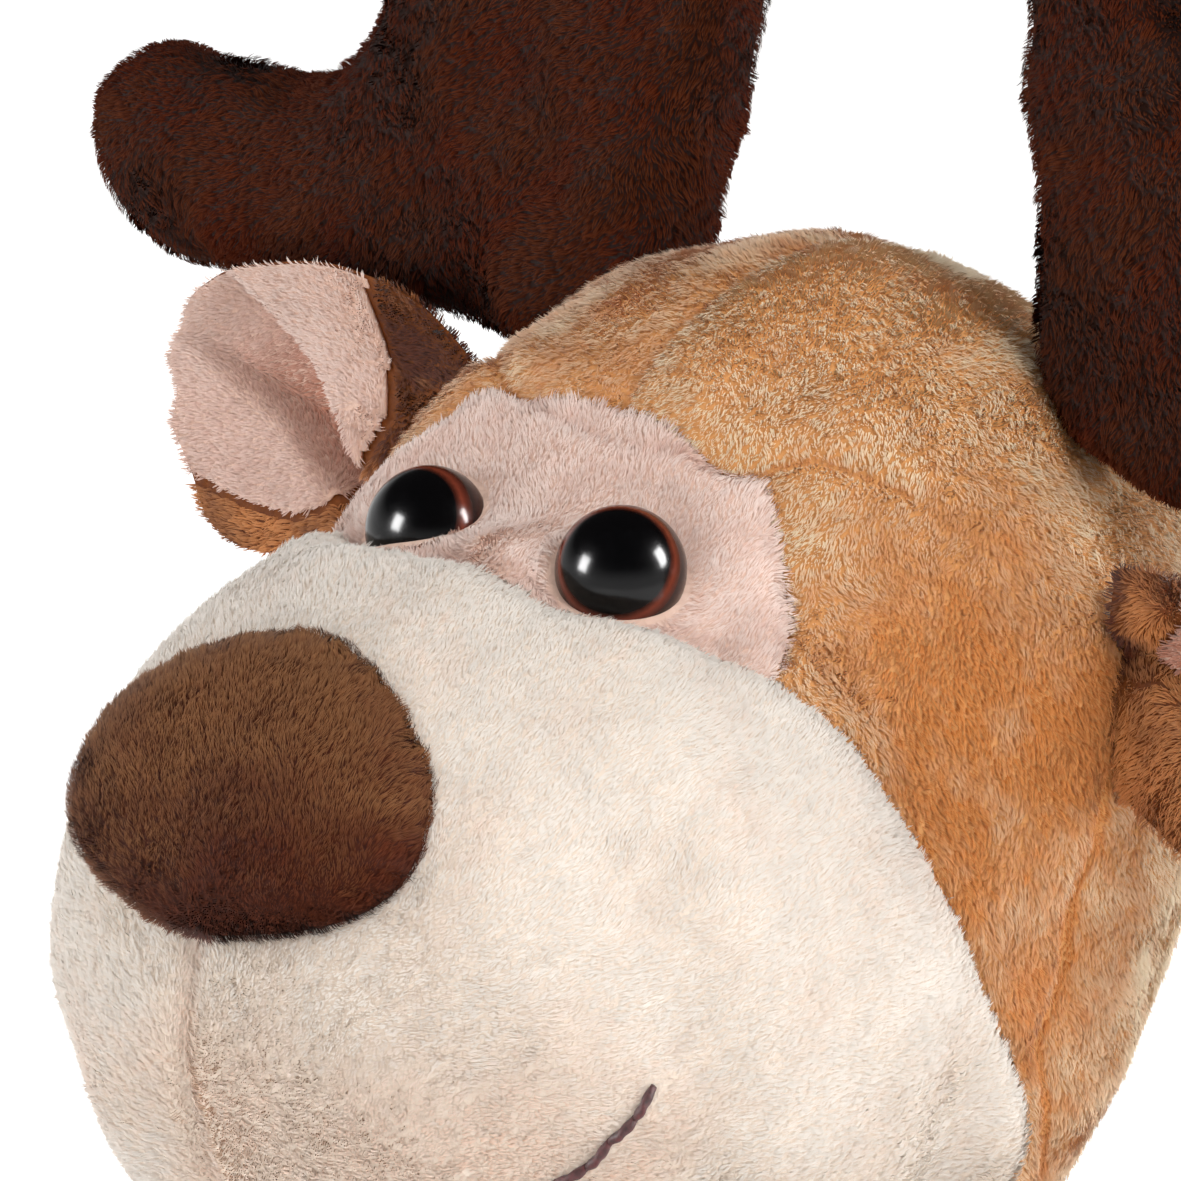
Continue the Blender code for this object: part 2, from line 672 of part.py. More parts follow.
def make_torso(collection):
    motion = turns((1, 0, 0), NOD_RANGE, NECK_PIVOT)
    outer = under_head(0.0, 0.0, 13, motion)
    inner = under_head(FABRIC, 0.0, 13, motion)
    inner[0][:, 2] += FABRIC
    shell = loft(outer + inner[::-1], (0, 0, 0), (0, 0, FABRIC))
    finish("torso_cover", shell, "tan", collection)
    floor = FABRIC + SEAM_GAP + BAG_HEIGHT + SEAM_GAP
    fill = under_head(FABRIC + STUFFING_GAP, floor, 9, motion, (0.8, 0.55, 0.3, 0.1))
    top = fill[-1].mean(0)
    finish("torso_stuffing", loft(fill, (0, 0, floor), top), "fibre", collection)
    low = FABRIC + SEAM_GAP
    turn = 2 * math.pi * np.arange(20) / 20
    circle = np.stack([np.cos(turn), np.sin(turn), 0 * turn], -1)
    bag = []
    for share, height in ((0.80, 0.0), (0.97, 0.2), (1.0, 0.5), (0.95, 0.8), (0.78, 1.0)):
        bag.append(circle * BAG_RADIUS * share + (0, 0, low + BAG_HEIGHT * height))
    finish("pellet_bag", loft(bag), "bag", collection)


def make_tail(collection):
    bm = bmesh.new()
    bmesh.ops.create_uvsphere(bm, u_segments=14, v_segments=8, radius=1.0)
    shape = Matrix.Diagonal((*TAIL_RADII, 1.0))
    tilt = Matrix.Rotation(math.radians(TAIL_TILT), 4, "X")
    place = Matrix.Translation((0.0, TAIL_REACH, TAIL_HEIGHT_SHARE * NECK_HEIGHT))
    bm.transform(place @ tilt @ shape)
    tail = finish("tail", bm, "tan", collection)
    cut(tail, torso_blob(SEAM_GAP))


# Limbs

def limb_strands(line, radii, side, inset, share, sides):
    """Dense loops along a limb, moved in by an inset, at a share of its radius."""
    shares = np.linspace(0, 1, len(line))
    dense = np.linspace(0, 1, 160)
    points = smooth_curve(np.column_stack([shares, np.array(line) * (side, 1, 1)]), dense)
    sizes = smooth_curve(np.column_stack([shares, radii]), dense)[:, 0]
    return np.array(tube_loops(points, (sizes - inset) * share, sides)), points, sizes


def limb_tip(points, radius, inset, sides):
    """Loops and pole of a limb's rounded end."""
    heading = unit(points[-1] - points[-2])
    bend = np.radians((0, 28, 54, 76))
    line = points[-1] + (np.sin(bend) * (radius - inset))[:, None] * heading
    straight = np.concatenate([points[-3:-1], line])
    sizes = np.concatenate([(1, 1), np.cos(bend)]) * (radius - inset)
    return tube_loops(straight, sizes, sides)[2:], points[-1] + heading * (radius - inset)


def make_limb(kind, side, name, line, radii, hoof_share, pivot, limits, collection):
    centre = np.array(pivot) * (side, 1, 1)
    motion = turns((-1, 0, 0), limits, centre)
    blocked = inside_torso(LIMB_GAP)
    faces = []
    for inset in (0.0, FABRIC):
        strands, points, sizes = limb_strands(line, radii, side, inset, 1.0, LIMB_SIDES)
        seam = round(hoof_share * (len(strands) - 1))
        sleeve = emerge(strands[:seam + 1], blocked, motion, 7)
        tips, pole = limb_tip(points, sizes[-1], inset, LIMB_SIDES)
        shift = unit(points[seam] - points[seam - 1]) * SWEEP_GAP
        middle = (seam + len(strands) - 1) // 2
        hoof = [strands[seam] + shift, strands[middle], strands[-1]] + tips[1:]
        faces.append((sleeve, hoof, pole))
    (sleeve, hoof, pole), (lining, sole, deep) = faces
    finish(kind + "_cover_" + name, loft(sleeve + lining[::-1], ring=True), "tan", collection)
    finish(kind + "_hoof_" + name, loft(hoof[::-1] + sole, pole, deep), "brown", collection)
    inset = FABRIC + STUFFING_GAP
    loops = []
    for share in (0.12, 0.55):
        strands, points, sizes = limb_strands(line, radii, side, inset, share, 10)
        loops.append(emerge(strands, blocked, motion, 2)[0])
    strands, points, sizes = limb_strands(line, radii, side, inset, 1.0, 10)
    tips, pole = limb_tip(points, sizes[-1], inset, 10)
    loops += emerge(strands, blocked, motion, 7) + tips[1:]
    fill = loft(loops, loops[0].mean(0), pole)
    finish(kind + "_stuffing_" + name, fill, "fibre", collection)


def build():
    clear_scene()
    collection = bpy.data.collections.new("plush_deer")
    bpy.context.scene.collection.children.link(collection)
    make_torso(collection)
    make_tail(collection)
    for side, name in ((1, "left"), (-1, "right")):
        make_limb("arm", side, name, ARM_LINE + SHOULDER, ARM_RADII, ARM_HOOF_SHARE, SHOULDER,
                  ARM_RANGE, collection)
        make_limb("leg", side, name, LEG_LINE, LEG_RADII, LEG_HOOF_SHARE, HIP, LEG_RANGE,
                  collection)
    make_head(collection)
    faces = {item.name: len(item.data.loop_triangles) or sum(len(p.vertices) - 2 for p in
                                                             item.data.polygons)
             for item in collection.objects}
    print("triangles", sum(faces.values()), faces)


build()
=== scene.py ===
"""The plush deer: fabric skins with a pile of mesh strands, plastic eyes and a stitched mouth."""
import math

import bmesh
import bpy
import numpy as np
from mathutils import Matrix, Vector
from mathutils.bvhtree import BVHTree
from mathutils.kdtree import KDTree


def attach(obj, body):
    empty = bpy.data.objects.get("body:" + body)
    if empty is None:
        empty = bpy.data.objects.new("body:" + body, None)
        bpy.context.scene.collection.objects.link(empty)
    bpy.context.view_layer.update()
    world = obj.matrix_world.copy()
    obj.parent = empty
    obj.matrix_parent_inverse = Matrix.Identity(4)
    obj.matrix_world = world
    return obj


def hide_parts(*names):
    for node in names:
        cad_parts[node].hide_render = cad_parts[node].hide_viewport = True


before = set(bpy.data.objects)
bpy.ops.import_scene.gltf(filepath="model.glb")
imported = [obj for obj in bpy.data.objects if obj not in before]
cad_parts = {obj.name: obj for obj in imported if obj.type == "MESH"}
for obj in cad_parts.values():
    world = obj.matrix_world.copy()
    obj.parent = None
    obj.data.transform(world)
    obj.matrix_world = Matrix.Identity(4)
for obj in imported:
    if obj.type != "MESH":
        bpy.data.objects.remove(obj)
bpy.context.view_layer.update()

MM = 0.001

# Head, as in the part: a muzzle ball and a cranium ball, measured from the heart of the head
MUZZLE = np.array((0.0, -0.036, 0.146))
MUZZLE_RADII = np.array((0.045, 0.045, 0.041))
CRANIUM = MUZZLE + (0.0, 0.035, 0.008)
CRANIUM_RADII = np.array((0.044, 0.0415, 0.0505))
HEART = MUZZLE + (0.0, 0.016, 0.004)
HEAD_BLEND = 0.006
HEAD_RADIUS = 0.046
EYE_HOLLOW = 0.0016
EYE_HOLLOW_ANGLE = 11.0
MUZZLE_SEAM = ((-90, 84), (-70, 90), (-50, 102), (-28, 104), (-9, 94), (8, 85), (22, 79),
               (35, 73.5), (50, 65), (65, 54.5), (90, 52))
PATCH_SEAM = ((42, 70.5), (45, 74.2), (49.5, 78.3), (55.5, 81.3), (62, 84), (67.2, 86),
              (73, 84.4), (80, 84), (90, 84.6))
PATCH_CORNER = 41.8
SEAM_GAP = 0.12
FAR_PATCH_TURN = -2.4
EYE_OFFSET = (0.0129, -0.0013, 0.0372)
EYE_LIFT = 0.0012
EYE_FACING = (0.50, -0.70, 0.51)
FAR_EYE_FACING = (0.18, -0.86, 0.48)
FAR_EYE_SHIFT = (0.0006, 0.0007, -0.0014)
EYE_RADIUS = 0.006
EYE_DOME = 0.0052
NOSE_RISE = 0.0010
NOSE_STITCHES = 26
NOSE_OUTLINE = ((0.0, 0.0094), (0.0110, 0.0114), (0.0165, 0.0136), (0.0193, 0.0165),
                (0.0198, 0.0195), (0.0185, 0.0235), (0.0150, 0.0270), (0.0080, 0.0310),
                (0.0, 0.0327))
STITCH_LENGTH = 0.0031
STITCH_RADIUS = 0.00047
MOUTH_LINE = ((0.0385, 0.0001), (0.0358, -0.0052), (0.0310, -0.0100), (0.0225, -0.0150),
              (0.0110, -0.0185), (0.0, -0.0212), (-0.0100, -0.0240), (-0.0190, -0.0258),
              (-0.0270, -0.0235), (-0.0325, -0.0165), (-0.0356, -0.0080), (-0.0378, -0.0020))

BOTH = (1, -1)
ONE = (1,)
SIDES = ((1, "left"), (-1, "right"))

# Valleys in the head's fabric, from the muzzle's centre in mm: (points, depth, width, sides)
VALLEYS = (
    (((0, 12, 51), (0, 22, 57), (0, 35, 60), (0, 52, 55), (0, 68, 38), (0, 76, 10)), 0.7, 1.3, ONE),
    (((10.9, 10.7, 47), (15, 12.1, 46.5), (20.2, 16.7, 46.9), (24, 19, 45.6), (27.7, 21.9, 43.9)),
     1.0, 1.1, BOTH),
    (((0, 8.5, 46.5), (6, 9, 47), (10.9, 10.7, 47)), 0.9, 1.5, BOTH),
    (((0, -9.5, 39), (8, -9.8, 38.4), (14.4, -8.8, 37), (18.8, -6, 36), (24, -1, 34)), 1.3, 2.8, BOTH),
    (((43, 33, 16), (43.5, 30, 6), (42.6, 29.5, -2.7), (40.8, 27.3, -8.4), (36.9, 30.2, -18.9),
      (28, 34, -30)), 1.1, 1.8, BOTH),
    (((0, -44, 9), (0, -46, -5), (0, -42, -18), (0, -30, -32), (0, -12, -40)), 1.0, 1.2, ONE),
)

# Where the stuffed head is fuller or flatter than the two balls: (direction, mm, degrees, sides).
# The last three are the far brow, the bridge between the eyes and the far eye's socket.
HEAD_SWELLS = (((0.28, 0.65, 0.71), 1.5, 26, BOTH), ((0.66, 0.70, -0.28), -3.0, 25, BOTH),
               ((0.72, 0.33, -0.61), 4.0, 17, BOTH), ((-0.50, -0.19, 0.845), 4.4, 15, ONE),
               ((0.0, -0.467, 0.884), -1.2, 9, ONE), ((-0.19, -0.50, 0.845), -1.6, 7, ONE))

# Pile heights: the skin lies this far under the outline that the photograph shows
HEAD_PILE = 0.0009
NOSE_PILE = 0.0008
ANTLER_PILE = 0.0009

# The guessed body's pile, in strands per mm2
BODY_STRANDS = 5.0
BODY_STRAND_WIDTH = 0.00032

# Levels of the light
WORLD_STRENGTH = 0.78
FLOOR_GLOW = 0.60

# Camera, fitted to the photograph
VIEW_AZIMUTH = 44.5
VIEW_ELEVATION = 16.8
VIEW_DISTANCE = 0.650
VIEW_TARGET = (0.0054, 0.0312)
LENS = 212.0

STRANDS_PER_PIECE = 65000
rng = np.random.default_rng(7)


def mirrored(place, side):
    """A place on the head's or body's left, or its mirror image where side is -1."""
    return np.array(place) * (side, 1, 1)


def unit(v):
    """Vectors of length 1 with the same directions."""
    return v / np.maximum(np.linalg.norm(v, axis=-1, keepdims=True), 1e-12)


def step(low, high, x):
    """0 at one value and 1 at another, with a smooth rise between."""
    t = np.clip((x - low) / (high - low), 0, 1)
    return t * t * (3 - 2 * t)


def smooth_curve(knots, samples):
    """Values of a smooth curve through knots (position, value, ...) at the samples."""
    table = np.array(knots, float)
    x, y = table[:, 0], table[:, 1:]
    slope = np.gradient(y, x, axis=0)
    place = np.clip(np.searchsorted(x, samples) - 1, 0, len(x) - 2)
    width = (x[place + 1] - x[place])[:, None]
    t = ((samples - x[place]) / width[:, 0])[:, None]
    blend = t * t * (3 - 2 * t)
    straight = y[place] * (1 - blend) + y[place + 1] * blend
    bend = t * (1 - t) ** 2 * slope[place] - t * t * (1 - t) * slope[place + 1]
    return straight + bend * width


def waves(points, size, seed, count=12):
    """A smooth random field with a spread of about 1, whose features are of this size."""
    own = np.random.default_rng(seed)
    heading = unit(own.normal(size=(count, 3))) * own.uniform(0.7, 1.4, (count, 1))
    phase = own.uniform(0, 2 * math.pi, count)
    return np.sin(points @ heading.T * (2 * math.pi / size) + phase).sum(-1) / math.sqrt(count / 2)


def run_along(path):
    """How far along a path each of its points lies."""
    return np.concatenate([[0], np.cumsum(np.linalg.norm(np.diff(path, axis=0), axis=1))])


def line_distance(points, line):
    """How far points lie from a line of straight runs."""
    nearest = np.full(len(points), 9.0)
    for a, b in zip(line[:-1], line[1:]):
        run = b - a
        t = np.clip((points - a) @ run / (run @ run), 0, 1)
        nearest = np.minimum(nearest, np.linalg.norm(points - a - t[:, None] * run, axis=1))
    return nearest


def inside_outline(points, outline):
    """Which of the flat points lie in a closed outline."""
    found = np.zeros(len(points), bool)
    for a, b in zip(outline, np.roll(outline, -1, 0)):
        crosses = (a[1] > points[:, 1]) != (b[1] > points[:, 1])
        rise = b[1] - a[1] if abs(b[1] - a[1]) > 1e-12 else 1e-12
        found ^= crosses & (points[:, 0] < (b[0] - a[0]) * (points[:, 1] - a[1]) / rise + a[0])
    return found


def lobe(directions, towards, spread):
    """1 in one direction, fading to 0 over about this many degrees around it."""
    angle = np.degrees(np.arccos(np.clip(directions @ towards, -1, 1)))
    return np.exp(-((angle / spread) ** 2))


def srgb(*values):
    """A colour for a shader, from 0 to 255 as it is seen."""
    part = np.array(values) / 255
    linear = np.where(part <= 0.04045, part / 12.92, ((part + 0.055) / 1.055) ** 2.4)
    return (*linear, 1.0)


# Meshes

def make_piece(name, points, faces, material, body, slot):
    """A mesh from points and lists of faces with equal corner counts, riding on a body."""
    mesh = bpy.data.meshes.new(name)
    mesh.vertices.add(len(points))
    mesh.vertices.foreach_set("co", np.asarray(points, np.float32).ravel())
    corners = np.concatenate([np.asarray(f, np.int32).ravel() for f in faces])
    counts = np.concatenate([np.full(len(f), np.shape(f)[1], np.int32) for f in faces])
    mesh.loops.add(len(corners))
    mesh.loops.foreach_set("vertex_index", corners)
    mesh.polygons.add(len(counts))
    starts = np.concatenate([[0], np.cumsum(counts)[:-1]]).astype(np.int32)
    mesh.polygons.foreach_set("loop_start", starts)
    mesh.update(calc_edges=True)
    mesh.validate()
    mesh.polygons.foreach_set("use_smooth", np.ones(len(counts), bool))
    mesh.materials.append(material)
    item = bpy.data.objects.new(name, mesh)
    bpy.context.scene.collection.objects.link(item)
    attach(item, body)
    return item


def grid_faces(rows, columns, closed):
    """Quads of a grid of points, row by row, whose rows may close on themselves."""
    index = np.arange(rows * columns).reshape(rows, columns)
    right = np.roll(index, -1, 1) if closed else index[:, 1:]
    left = index if closed else index[:, :-1]
    return np.stack([left[:-1], right[:-1], right[1:], left[1:]], -1).reshape(-1, 4)


def shell(front, back, closed):
    """Points and quads of a closed shell between two grids, open at its rows' ends."""
    rows, columns = front.shape[:2]
    size = rows * columns
    faces = grid_faces(rows, columns, closed)
    points = np.concatenate([front.reshape(-1, 3), back.reshape(-1, 3)])
    parts = [faces, faces[:, ::-1] + size]
    index = np.arange(size).reshape(rows, columns)
    rims = [(index[0], 1), (index[-1], -1)]
    if not closed:
        rims += [(index[:, 0], -1), (index[:, -1], 1)]
    for rim, sense in rims:
        a = rim if closed else rim[:-1]
        b = np.roll(rim, -1) if closed else rim[1:]
        quad = np.stack([b, a, a + size, b + size], -1)
        parts.append(quad if sense == 1 else quad[:, ::-1])
    return points, parts


def read_mesh(item):
    """Points, normals and triangles of an object's mesh."""
    mesh = item.data
    mesh.calc_loop_triangles()
    points = np.empty(len(mesh.vertices) * 3, np.float32)
    mesh.vertices.foreach_get("co", points)
    normals = np.empty(len(mesh.vertices) * 3, np.float32)
    mesh.vertex_normals.foreach_get("vector", normals)
    triangles = np.empty(len(mesh.loop_triangles) * 3, np.int32)
    mesh.loop_triangles.foreach_get("vertices", triangles)
    return (points.reshape(-1, 3).astype(float), normals.reshape(-1, 3).astype(float),
            triangles.reshape(-1, 3))


def tree_of(item):
    points, _, triangles = read_mesh(item)
    return BVHTree.FromPolygons(points.tolist(), triangles.tolist())


def beside(tree, points, reach):
    """Which points lie within this reach of a mesh."""
    return np.array([tree.find_nearest(point)[3] < reach for point in points.tolist()], bool)


def inside(tree, points, margin):
    """Which points lie in a closed mesh, or within a margin outside it."""
    found = np.zeros(len(points), bool)
    for i, point in enumerate(points.tolist()):
        place, normal, _, distance = tree.find_nearest(point)
        found[i] = (Vector(point) - place).dot(normal) < 0 or distance < margin
    return found


def cover(name, node, shape, kind, body):
    """A piece of fabric that replaces a CAD node. shape has its points and faces."""
    item = make_piece(name, *shape, BACKINGS[kind], body, SLOTS[kind])
    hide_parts(node)
    return item


def close_ends(item):
    """Fill the open ends of a piece and turn its faces outwards."""
    bm = bmesh.new()
    bm.from_mesh(item.data)
    bmesh.ops.holes_fill(bm, edges=bm.edges)
    bmesh.ops.recalc_face_normals(bm, faces=bm.faces)
    bm.to_mesh(item.data)
    bm.free()


def by_corners(mesh):
    """The faces of a mesh, in one array for each number of corners."""
    faces = [p.vertices[:] for p in mesh.polygons]
    return [np.array([f for f in faces if len(f) == k]) for k in sorted({len(f) for f in faces})]


def softened(mesh, levels):
    """Points, normals and faces of a mesh after some levels of subdivision."""
    copy = bpy.data.objects.new("copy", mesh)
    bpy.context.scene.collection.objects.link(copy)
    swell = copy.modifiers.new("Soften", "SUBSURF")
    swell.levels = swell.render_levels = levels
    graph = bpy.context.evaluated_depsgraph_get()
    smooth = bpy.data.meshes.new_from_object(copy.evaluated_get(graph))
    bpy.data.objects.remove(copy)
    points = np.array([v.co for v in smooth.vertices], float)
    normals = np.array([v.normal for v in smooth.vertices], float)
    return points, normals, by_corners(smooth)


# Materials

class Nodes:
    """The shader nodes of a material or a world, added one by one."""

    def __init__(self, owner):
        owner.use_nodes = True
        self.owner = owner
        self.tree = owner.node_tree
        self.shader = self.tree.nodes.get("Principled BSDF")

    def add(self, kind, inputs=(), **settings):
        node = self.tree.nodes.new("ShaderNode" + kind)
        for key, value in settings.items():
            setattr(node, key, value)
        for key, value in dict(inputs).items():
            self.set(node, key, value)
        return node

    def set(self, node, key, value):
        if isinstance(value, bpy.types.NodeSocket):
            self.tree.links.new(value, node.inputs[key])
        else:
            node.inputs[key].default_value = value

    def finish(self, **values):
        for key, value in values.items():
            self.set(self.shader, key.replace("_", " "), value)
        return self.owner

    def ramp(self, source, stops):
        node = self.add("ValToRGB", {"Fac": source})
        elements = node.color_ramp.elements
        while len(elements) < len(stops):
            elements.new(0.5)
        for element, (place, colour) in zip(elements, stops):
            element.position = place
            element.color = colour
        return node.outputs["Color"]

    def noise(self, scale, detail=3.0, roughness=0.6):
        inputs = {"Scale": scale, "Detail": detail, "Roughness": roughness, "Vector": self.place()}
        return self.add("TexNoise", inputs).outputs["Fac"]

    def place(self):
        return self.add("TexCoord").outputs["Object"]

    def spread(self, source, low, high):
        limits = {"From Min": 0.25, "From Max": 0.75, "To Min": low, "To Max": high}
        return self.add("MapRange", {"Value": source, **limits}).outputs["Result"]

    def mix(self, share, a, b):
        return self.add("MixRGB", {"Fac": share, "Color1": a, "Color2": b}).outputs["Color"]

    def maths(self, operation, a, b):
        return self.add("Math", {0: a, 1: b}, operation=operation).outputs["Value"]


def new_material(name):
    return Nodes(bpy.data.materials.new(name))


def pile_material(name, plain, other, contrast, sheen, gloss=0.2):
    """Strands, each with its own tint, darker at the root and lighter at the tip: painted shade between the
    strands.

    plain and other are (root, middle, tip) colours, mixed by a share that holds a tone and, on some pieces,
    painted shade."""
    n = new_material(name)
    parts = n.add("SeparateXYZ", {"Vector": n.add("Attribute", attribute_name="pile").outputs["Vector"]})
    along, tint, tone_and_shade = parts.outputs
    # The darker root colours are painted shade between the strands
    ramps = [n.ramp(along, ((0.0, srgb(*c[0])), (0.45, srgb(*c[1])), (1.0, srgb(*c[2]))))
             for c in (plain, other)]
    colour = n.mix(tone_and_shade, *ramps)
    cloud = n.spread(n.noise(260.0, 4.0), 0.93, 1.07)
    own = n.maths("MULTIPLY_ADD", tint, contrast)
    own.node.inputs[2].default_value = 1 - contrast / 2
    colour = n.add("HueSaturation", {"Color": colour, "Value": n.maths("MULTIPLY", cloud, own)})
    rough = n.spread(n.noise(900.0, 2.0), 0.72, 0.92)
    return n.finish(Base_Color=colour.outputs["Color"], Roughness=rough, Sheen_Weight=sheen,
                    Sheen_Roughness=0.5, Specular_IOR_Level=gloss)


def backing_material(name, colour, deep):
    """The knitted ground that the pile stands on."""
    n = new_material(name)
    knit = n.add("TexVoronoi", {"Scale": 1100.0, "Vector": n.place()}).outputs["Distance"]
    shade = n.mix(n.spread(n.noise(500.0), 0.0, 1.0), srgb(*colour), srgb(*deep))
    shade = n.mix(knit, shade, srgb(*deep))
    bump = n.add("Bump", {"Height": knit, "Strength": 0.5, "Distance": 0.0003})
    return n.finish(Base_Color=shade, Roughness=n.spread(knit, 0.95, 0.8),
                    Normal=bump.outputs["Normal"], Specular_IOR_Level=0.2)


TAN = ((237, 201, 152), (232, 208, 170), (238, 218, 190))
# The tan pile's orange, laid on mostly as painted shade
ORANGE = ((208, 114, 44), (202, 124, 58), (218, 148, 86))
CREAM = ((240, 226, 212), (234, 226, 216), (238, 231, 223))
PEACH = ((228, 180, 148), (233, 202, 180), (239, 218, 203))
PINK = ((240, 208, 192), (238, 214, 203), (242, 225, 216))
PINK_SHADE = ((160, 92, 66), (182, 116, 90), (204, 146, 122))
BROWN = ((48, 16, 4), (66, 28, 10), (89, 45, 24))
BROWN_RED = ((46, 10, 2), (66, 22, 6), (92, 40, 17))
NOSE_BROWN = ((90, 52, 26), (120, 74, 42), (152, 107, 68))
NOSE_RED = ((60, 20, 9), (80, 34, 17), (106, 53, 30))
EAR_BROWN = ((186, 106, 48), (200, 126, 68), (214, 148, 92))
EAR_DARK = ((50, 16, 4), (72, 28, 9), (98, 46, 21))

PILES = {
    "tan": pile_material("tan_pile", TAN, ORANGE, 0.08, 0.25),
    "cream": pile_material("cream_pile", CREAM, PEACH, 0.04, 0.2),
    "pink": pile_material("pink_pile", PINK, PINK_SHADE, 0.05, 0.2),
    "brown": pile_material("brown_pile", BROWN, BROWN_RED, 0.24, 0.0, 0.05),
    "nose": pile_material("nose_pile", NOSE_BROWN, NOSE_RED, 0.24, 0.1, 0.08),
    "ear": pile_material("ear_pile", EAR_BROWN, EAR_DARK, 0.20, 0.2),
}
BACKINGS = {
    "tan": backing_material("tan_backing", (228, 172, 114), (214, 152, 92)),
    "cream": backing_material("cream_backing", (238, 226, 212), (232, 216, 200)),
    "pink": backing_material("pink_backing", (234, 204, 188), (224, 190, 172)),
    "brown": backing_material("brown_backing", (48, 22, 11), (34, 14, 6)),
    "nose": backing_material("nose_backing", (92, 44, 25), (66, 28, 14)),
    "ear": backing_material("ear_backing", (140, 80, 36), (110, 58, 24)),
    "fibre": backing_material("fibre_fill", (236, 236, 232), (214, 214, 208)),
    "bag": backing_material("bag_cloth", (226, 222, 210), (200, 194, 180)),
}
SLOTS = {"tan": "tan_plush", "cream": "cream_plush", "pink": "pink_plush", "brown": "brown_plush",
         "nose": "nose_plush", "ear": "ear_back_plush"}


# Pile

def sample(item, density, keep=None):
    """Evenly spread places on a mesh: points, normals. density is in strands per mm2."""
    points, normals, triangles = read_mesh(item)
    corners = points[triangles]
    centres = corners.mean(1)
    cross = np.cross(corners[:, 1] - corners[:, 0], corners[:, 2] - corners[:, 0])
    area = np.linalg.norm(cross, axis=1) / 2 * 1e6
    facing = unit(cross)
    weight = area * (density(centres, facing) if callable(density) else density)
    if keep is not None:
        weight = weight * keep(centres, facing)
    total = np.cumsum(weight)
    count = int(total[-1])
    spot = (np.arange(count) + rng.random(count)) / count * total[-1]
    chosen = np.minimum(np.searchsorted(total, spot), len(total) - 1)
    a = np.sqrt(rng.random(count))
    b = rng.random(count)
    shares = np.stack([1 - a, a * (1 - b), a * b], -1)[:, :, None]
    own = triangles[chosen]
    return (points[own] * shares).sum(1), unit((normals[own] * shares).sum(1))


def clumps(roots, every):
    """For each strand, the index of the strand at the middle of its tuft."""
    count = len(roots)
    centres = rng.choice(count, max(count // every, 1), replace=False)
    tree = KDTree(len(centres))
    for i, centre in enumerate(roots[centres].tolist()):
        tree.insert(centre, i)
    tree.balance()
    nearest = np.array([tree.find(p)[1] for p in roots.tolist()])
    return centres[nearest]


def tangled(roots, size, seed):
    """A field of vectors that wander smoothly over this distance."""
    return np.stack([waves(roots, size, seed + i, 8) for i in range(3)], -1)


def blades(roots, normals, flow, length, width, lean, every=10, gather=0.2, ruffle=0.14, rough=0.6,
           seed=1):
    """Points of flat blades that lean along the flow, their normals, and two numbers for each.

    The numbers are a tint from 0 to 1, and how far the blade's tuft departs from its share of the second
    colours."""
    count = len(roots)
    flow = unit(flow - normals * (flow * normals).sum(1)[:, None])
    side = np.cross(normals, flow)
    home = clumps(roots, every)
    mood = rng.normal(size=(count, 4))
    swing = ruffle * (0.8 * mood[home, 0] + 0.5 * mood[:, 0]
                      + 0.8 * waves(roots, 0.005, seed, 8))
    heading = unit(flow + side * swing[:, None])
    length = length * np.clip(1 + 0.12 * mood[home, 1] + 0.14 * mood[:, 1], 0.5, 1.5)
    tilt = np.radians(np.clip(lean + 8 * mood[home, 2] + 6 * mood[:, 2], 5, 84))[:, None]
    reach = heading * np.sin(tilt) + normals * np.cos(tilt)
    tips = roots + reach * length[:, None]
    tips = tips + (tips[home] - tips) * (gather * rng.uniform(0.5, 1.0, count))[:, None]
    knees = roots + (normals * 0.50 + heading * 0.22) * length[:, None]
    blade = unit(np.cross(normals, tips - roots))
    twist = (rng.normal(size=count) * 0.35)[:, None]
    half = (blade * np.cos(twist) + normals * np.sin(twist)) * np.broadcast_to(width / 2, count)[:, None]
    starts = roots - normals * 0.0002
    middles = starts * 0.2 + knees * 0.5 + tips * 0.3
    points = np.stack([starts - half * 0.85, starts + half * 0.85, middles - half, middles + half, tips], 1)
    points[..., 2] = np.maximum(points[..., 2], 0.0001)
    tuft = rng.normal(size=(count, 3))
    shading = unit(normals + rough * (0.16 * unit(np.cross(tips - roots, blade)) + 0.08 * tuft[home]
                                      + 0.05 * rng.normal(size=(count, 3))))
    tint = np.clip(0.5 + 0.17 * mood[home, 3] + 0.12 * mood[:, 3], 0, 1)
    return points, shading, tint, mood[home, 3] + 0.5 * mood[:, 3]


def strand_layers(mesh, tint, tone_and_shade, shading):
    """What each strand's material reads, its normals, and a cell of its own for baking."""
    count = len(tint)
    along = np.broadcast_to((0.0, 0.0, 0.5, 0.5, 1.0), (count, 5))
    values = np.stack([along, np.repeat(tint[:, None], 5, 1), np.repeat(tone_and_shade[:, None], 5, 1)], -1)
    for name, vectors in (("pile", values), ("custom_normal", np.repeat(shading[:, None], 5, 1))):
        layer = mesh.attributes.new(name, "FLOAT_VECTOR", "POINT")
        layer.data.foreach_set("vector", vectors.astype(np.float32).ravel())
    cells = math.ceil(math.sqrt(count))
    corner = np.stack([np.arange(count) % cells, np.arange(count) // cells], -1)[:, None]
    low, high = np.array((0.2, 0.1)), np.array((0.8, 0.9))
    lower = (corner + low + np.array(((0, 0), (0, .5), (1, .5), (1, 0))) * (high - low)) / cells
    upper = (corner + low + np.array(((0, .5), (.5, 1), (1, .5))) * (high - low)) / cells
    uv = mesh.uv_layers.new(name="OFBake")
    uv.uv.foreach_set("vector", np.concatenate([lower.ravel(), upper.ravel()]).astype(np.float32))


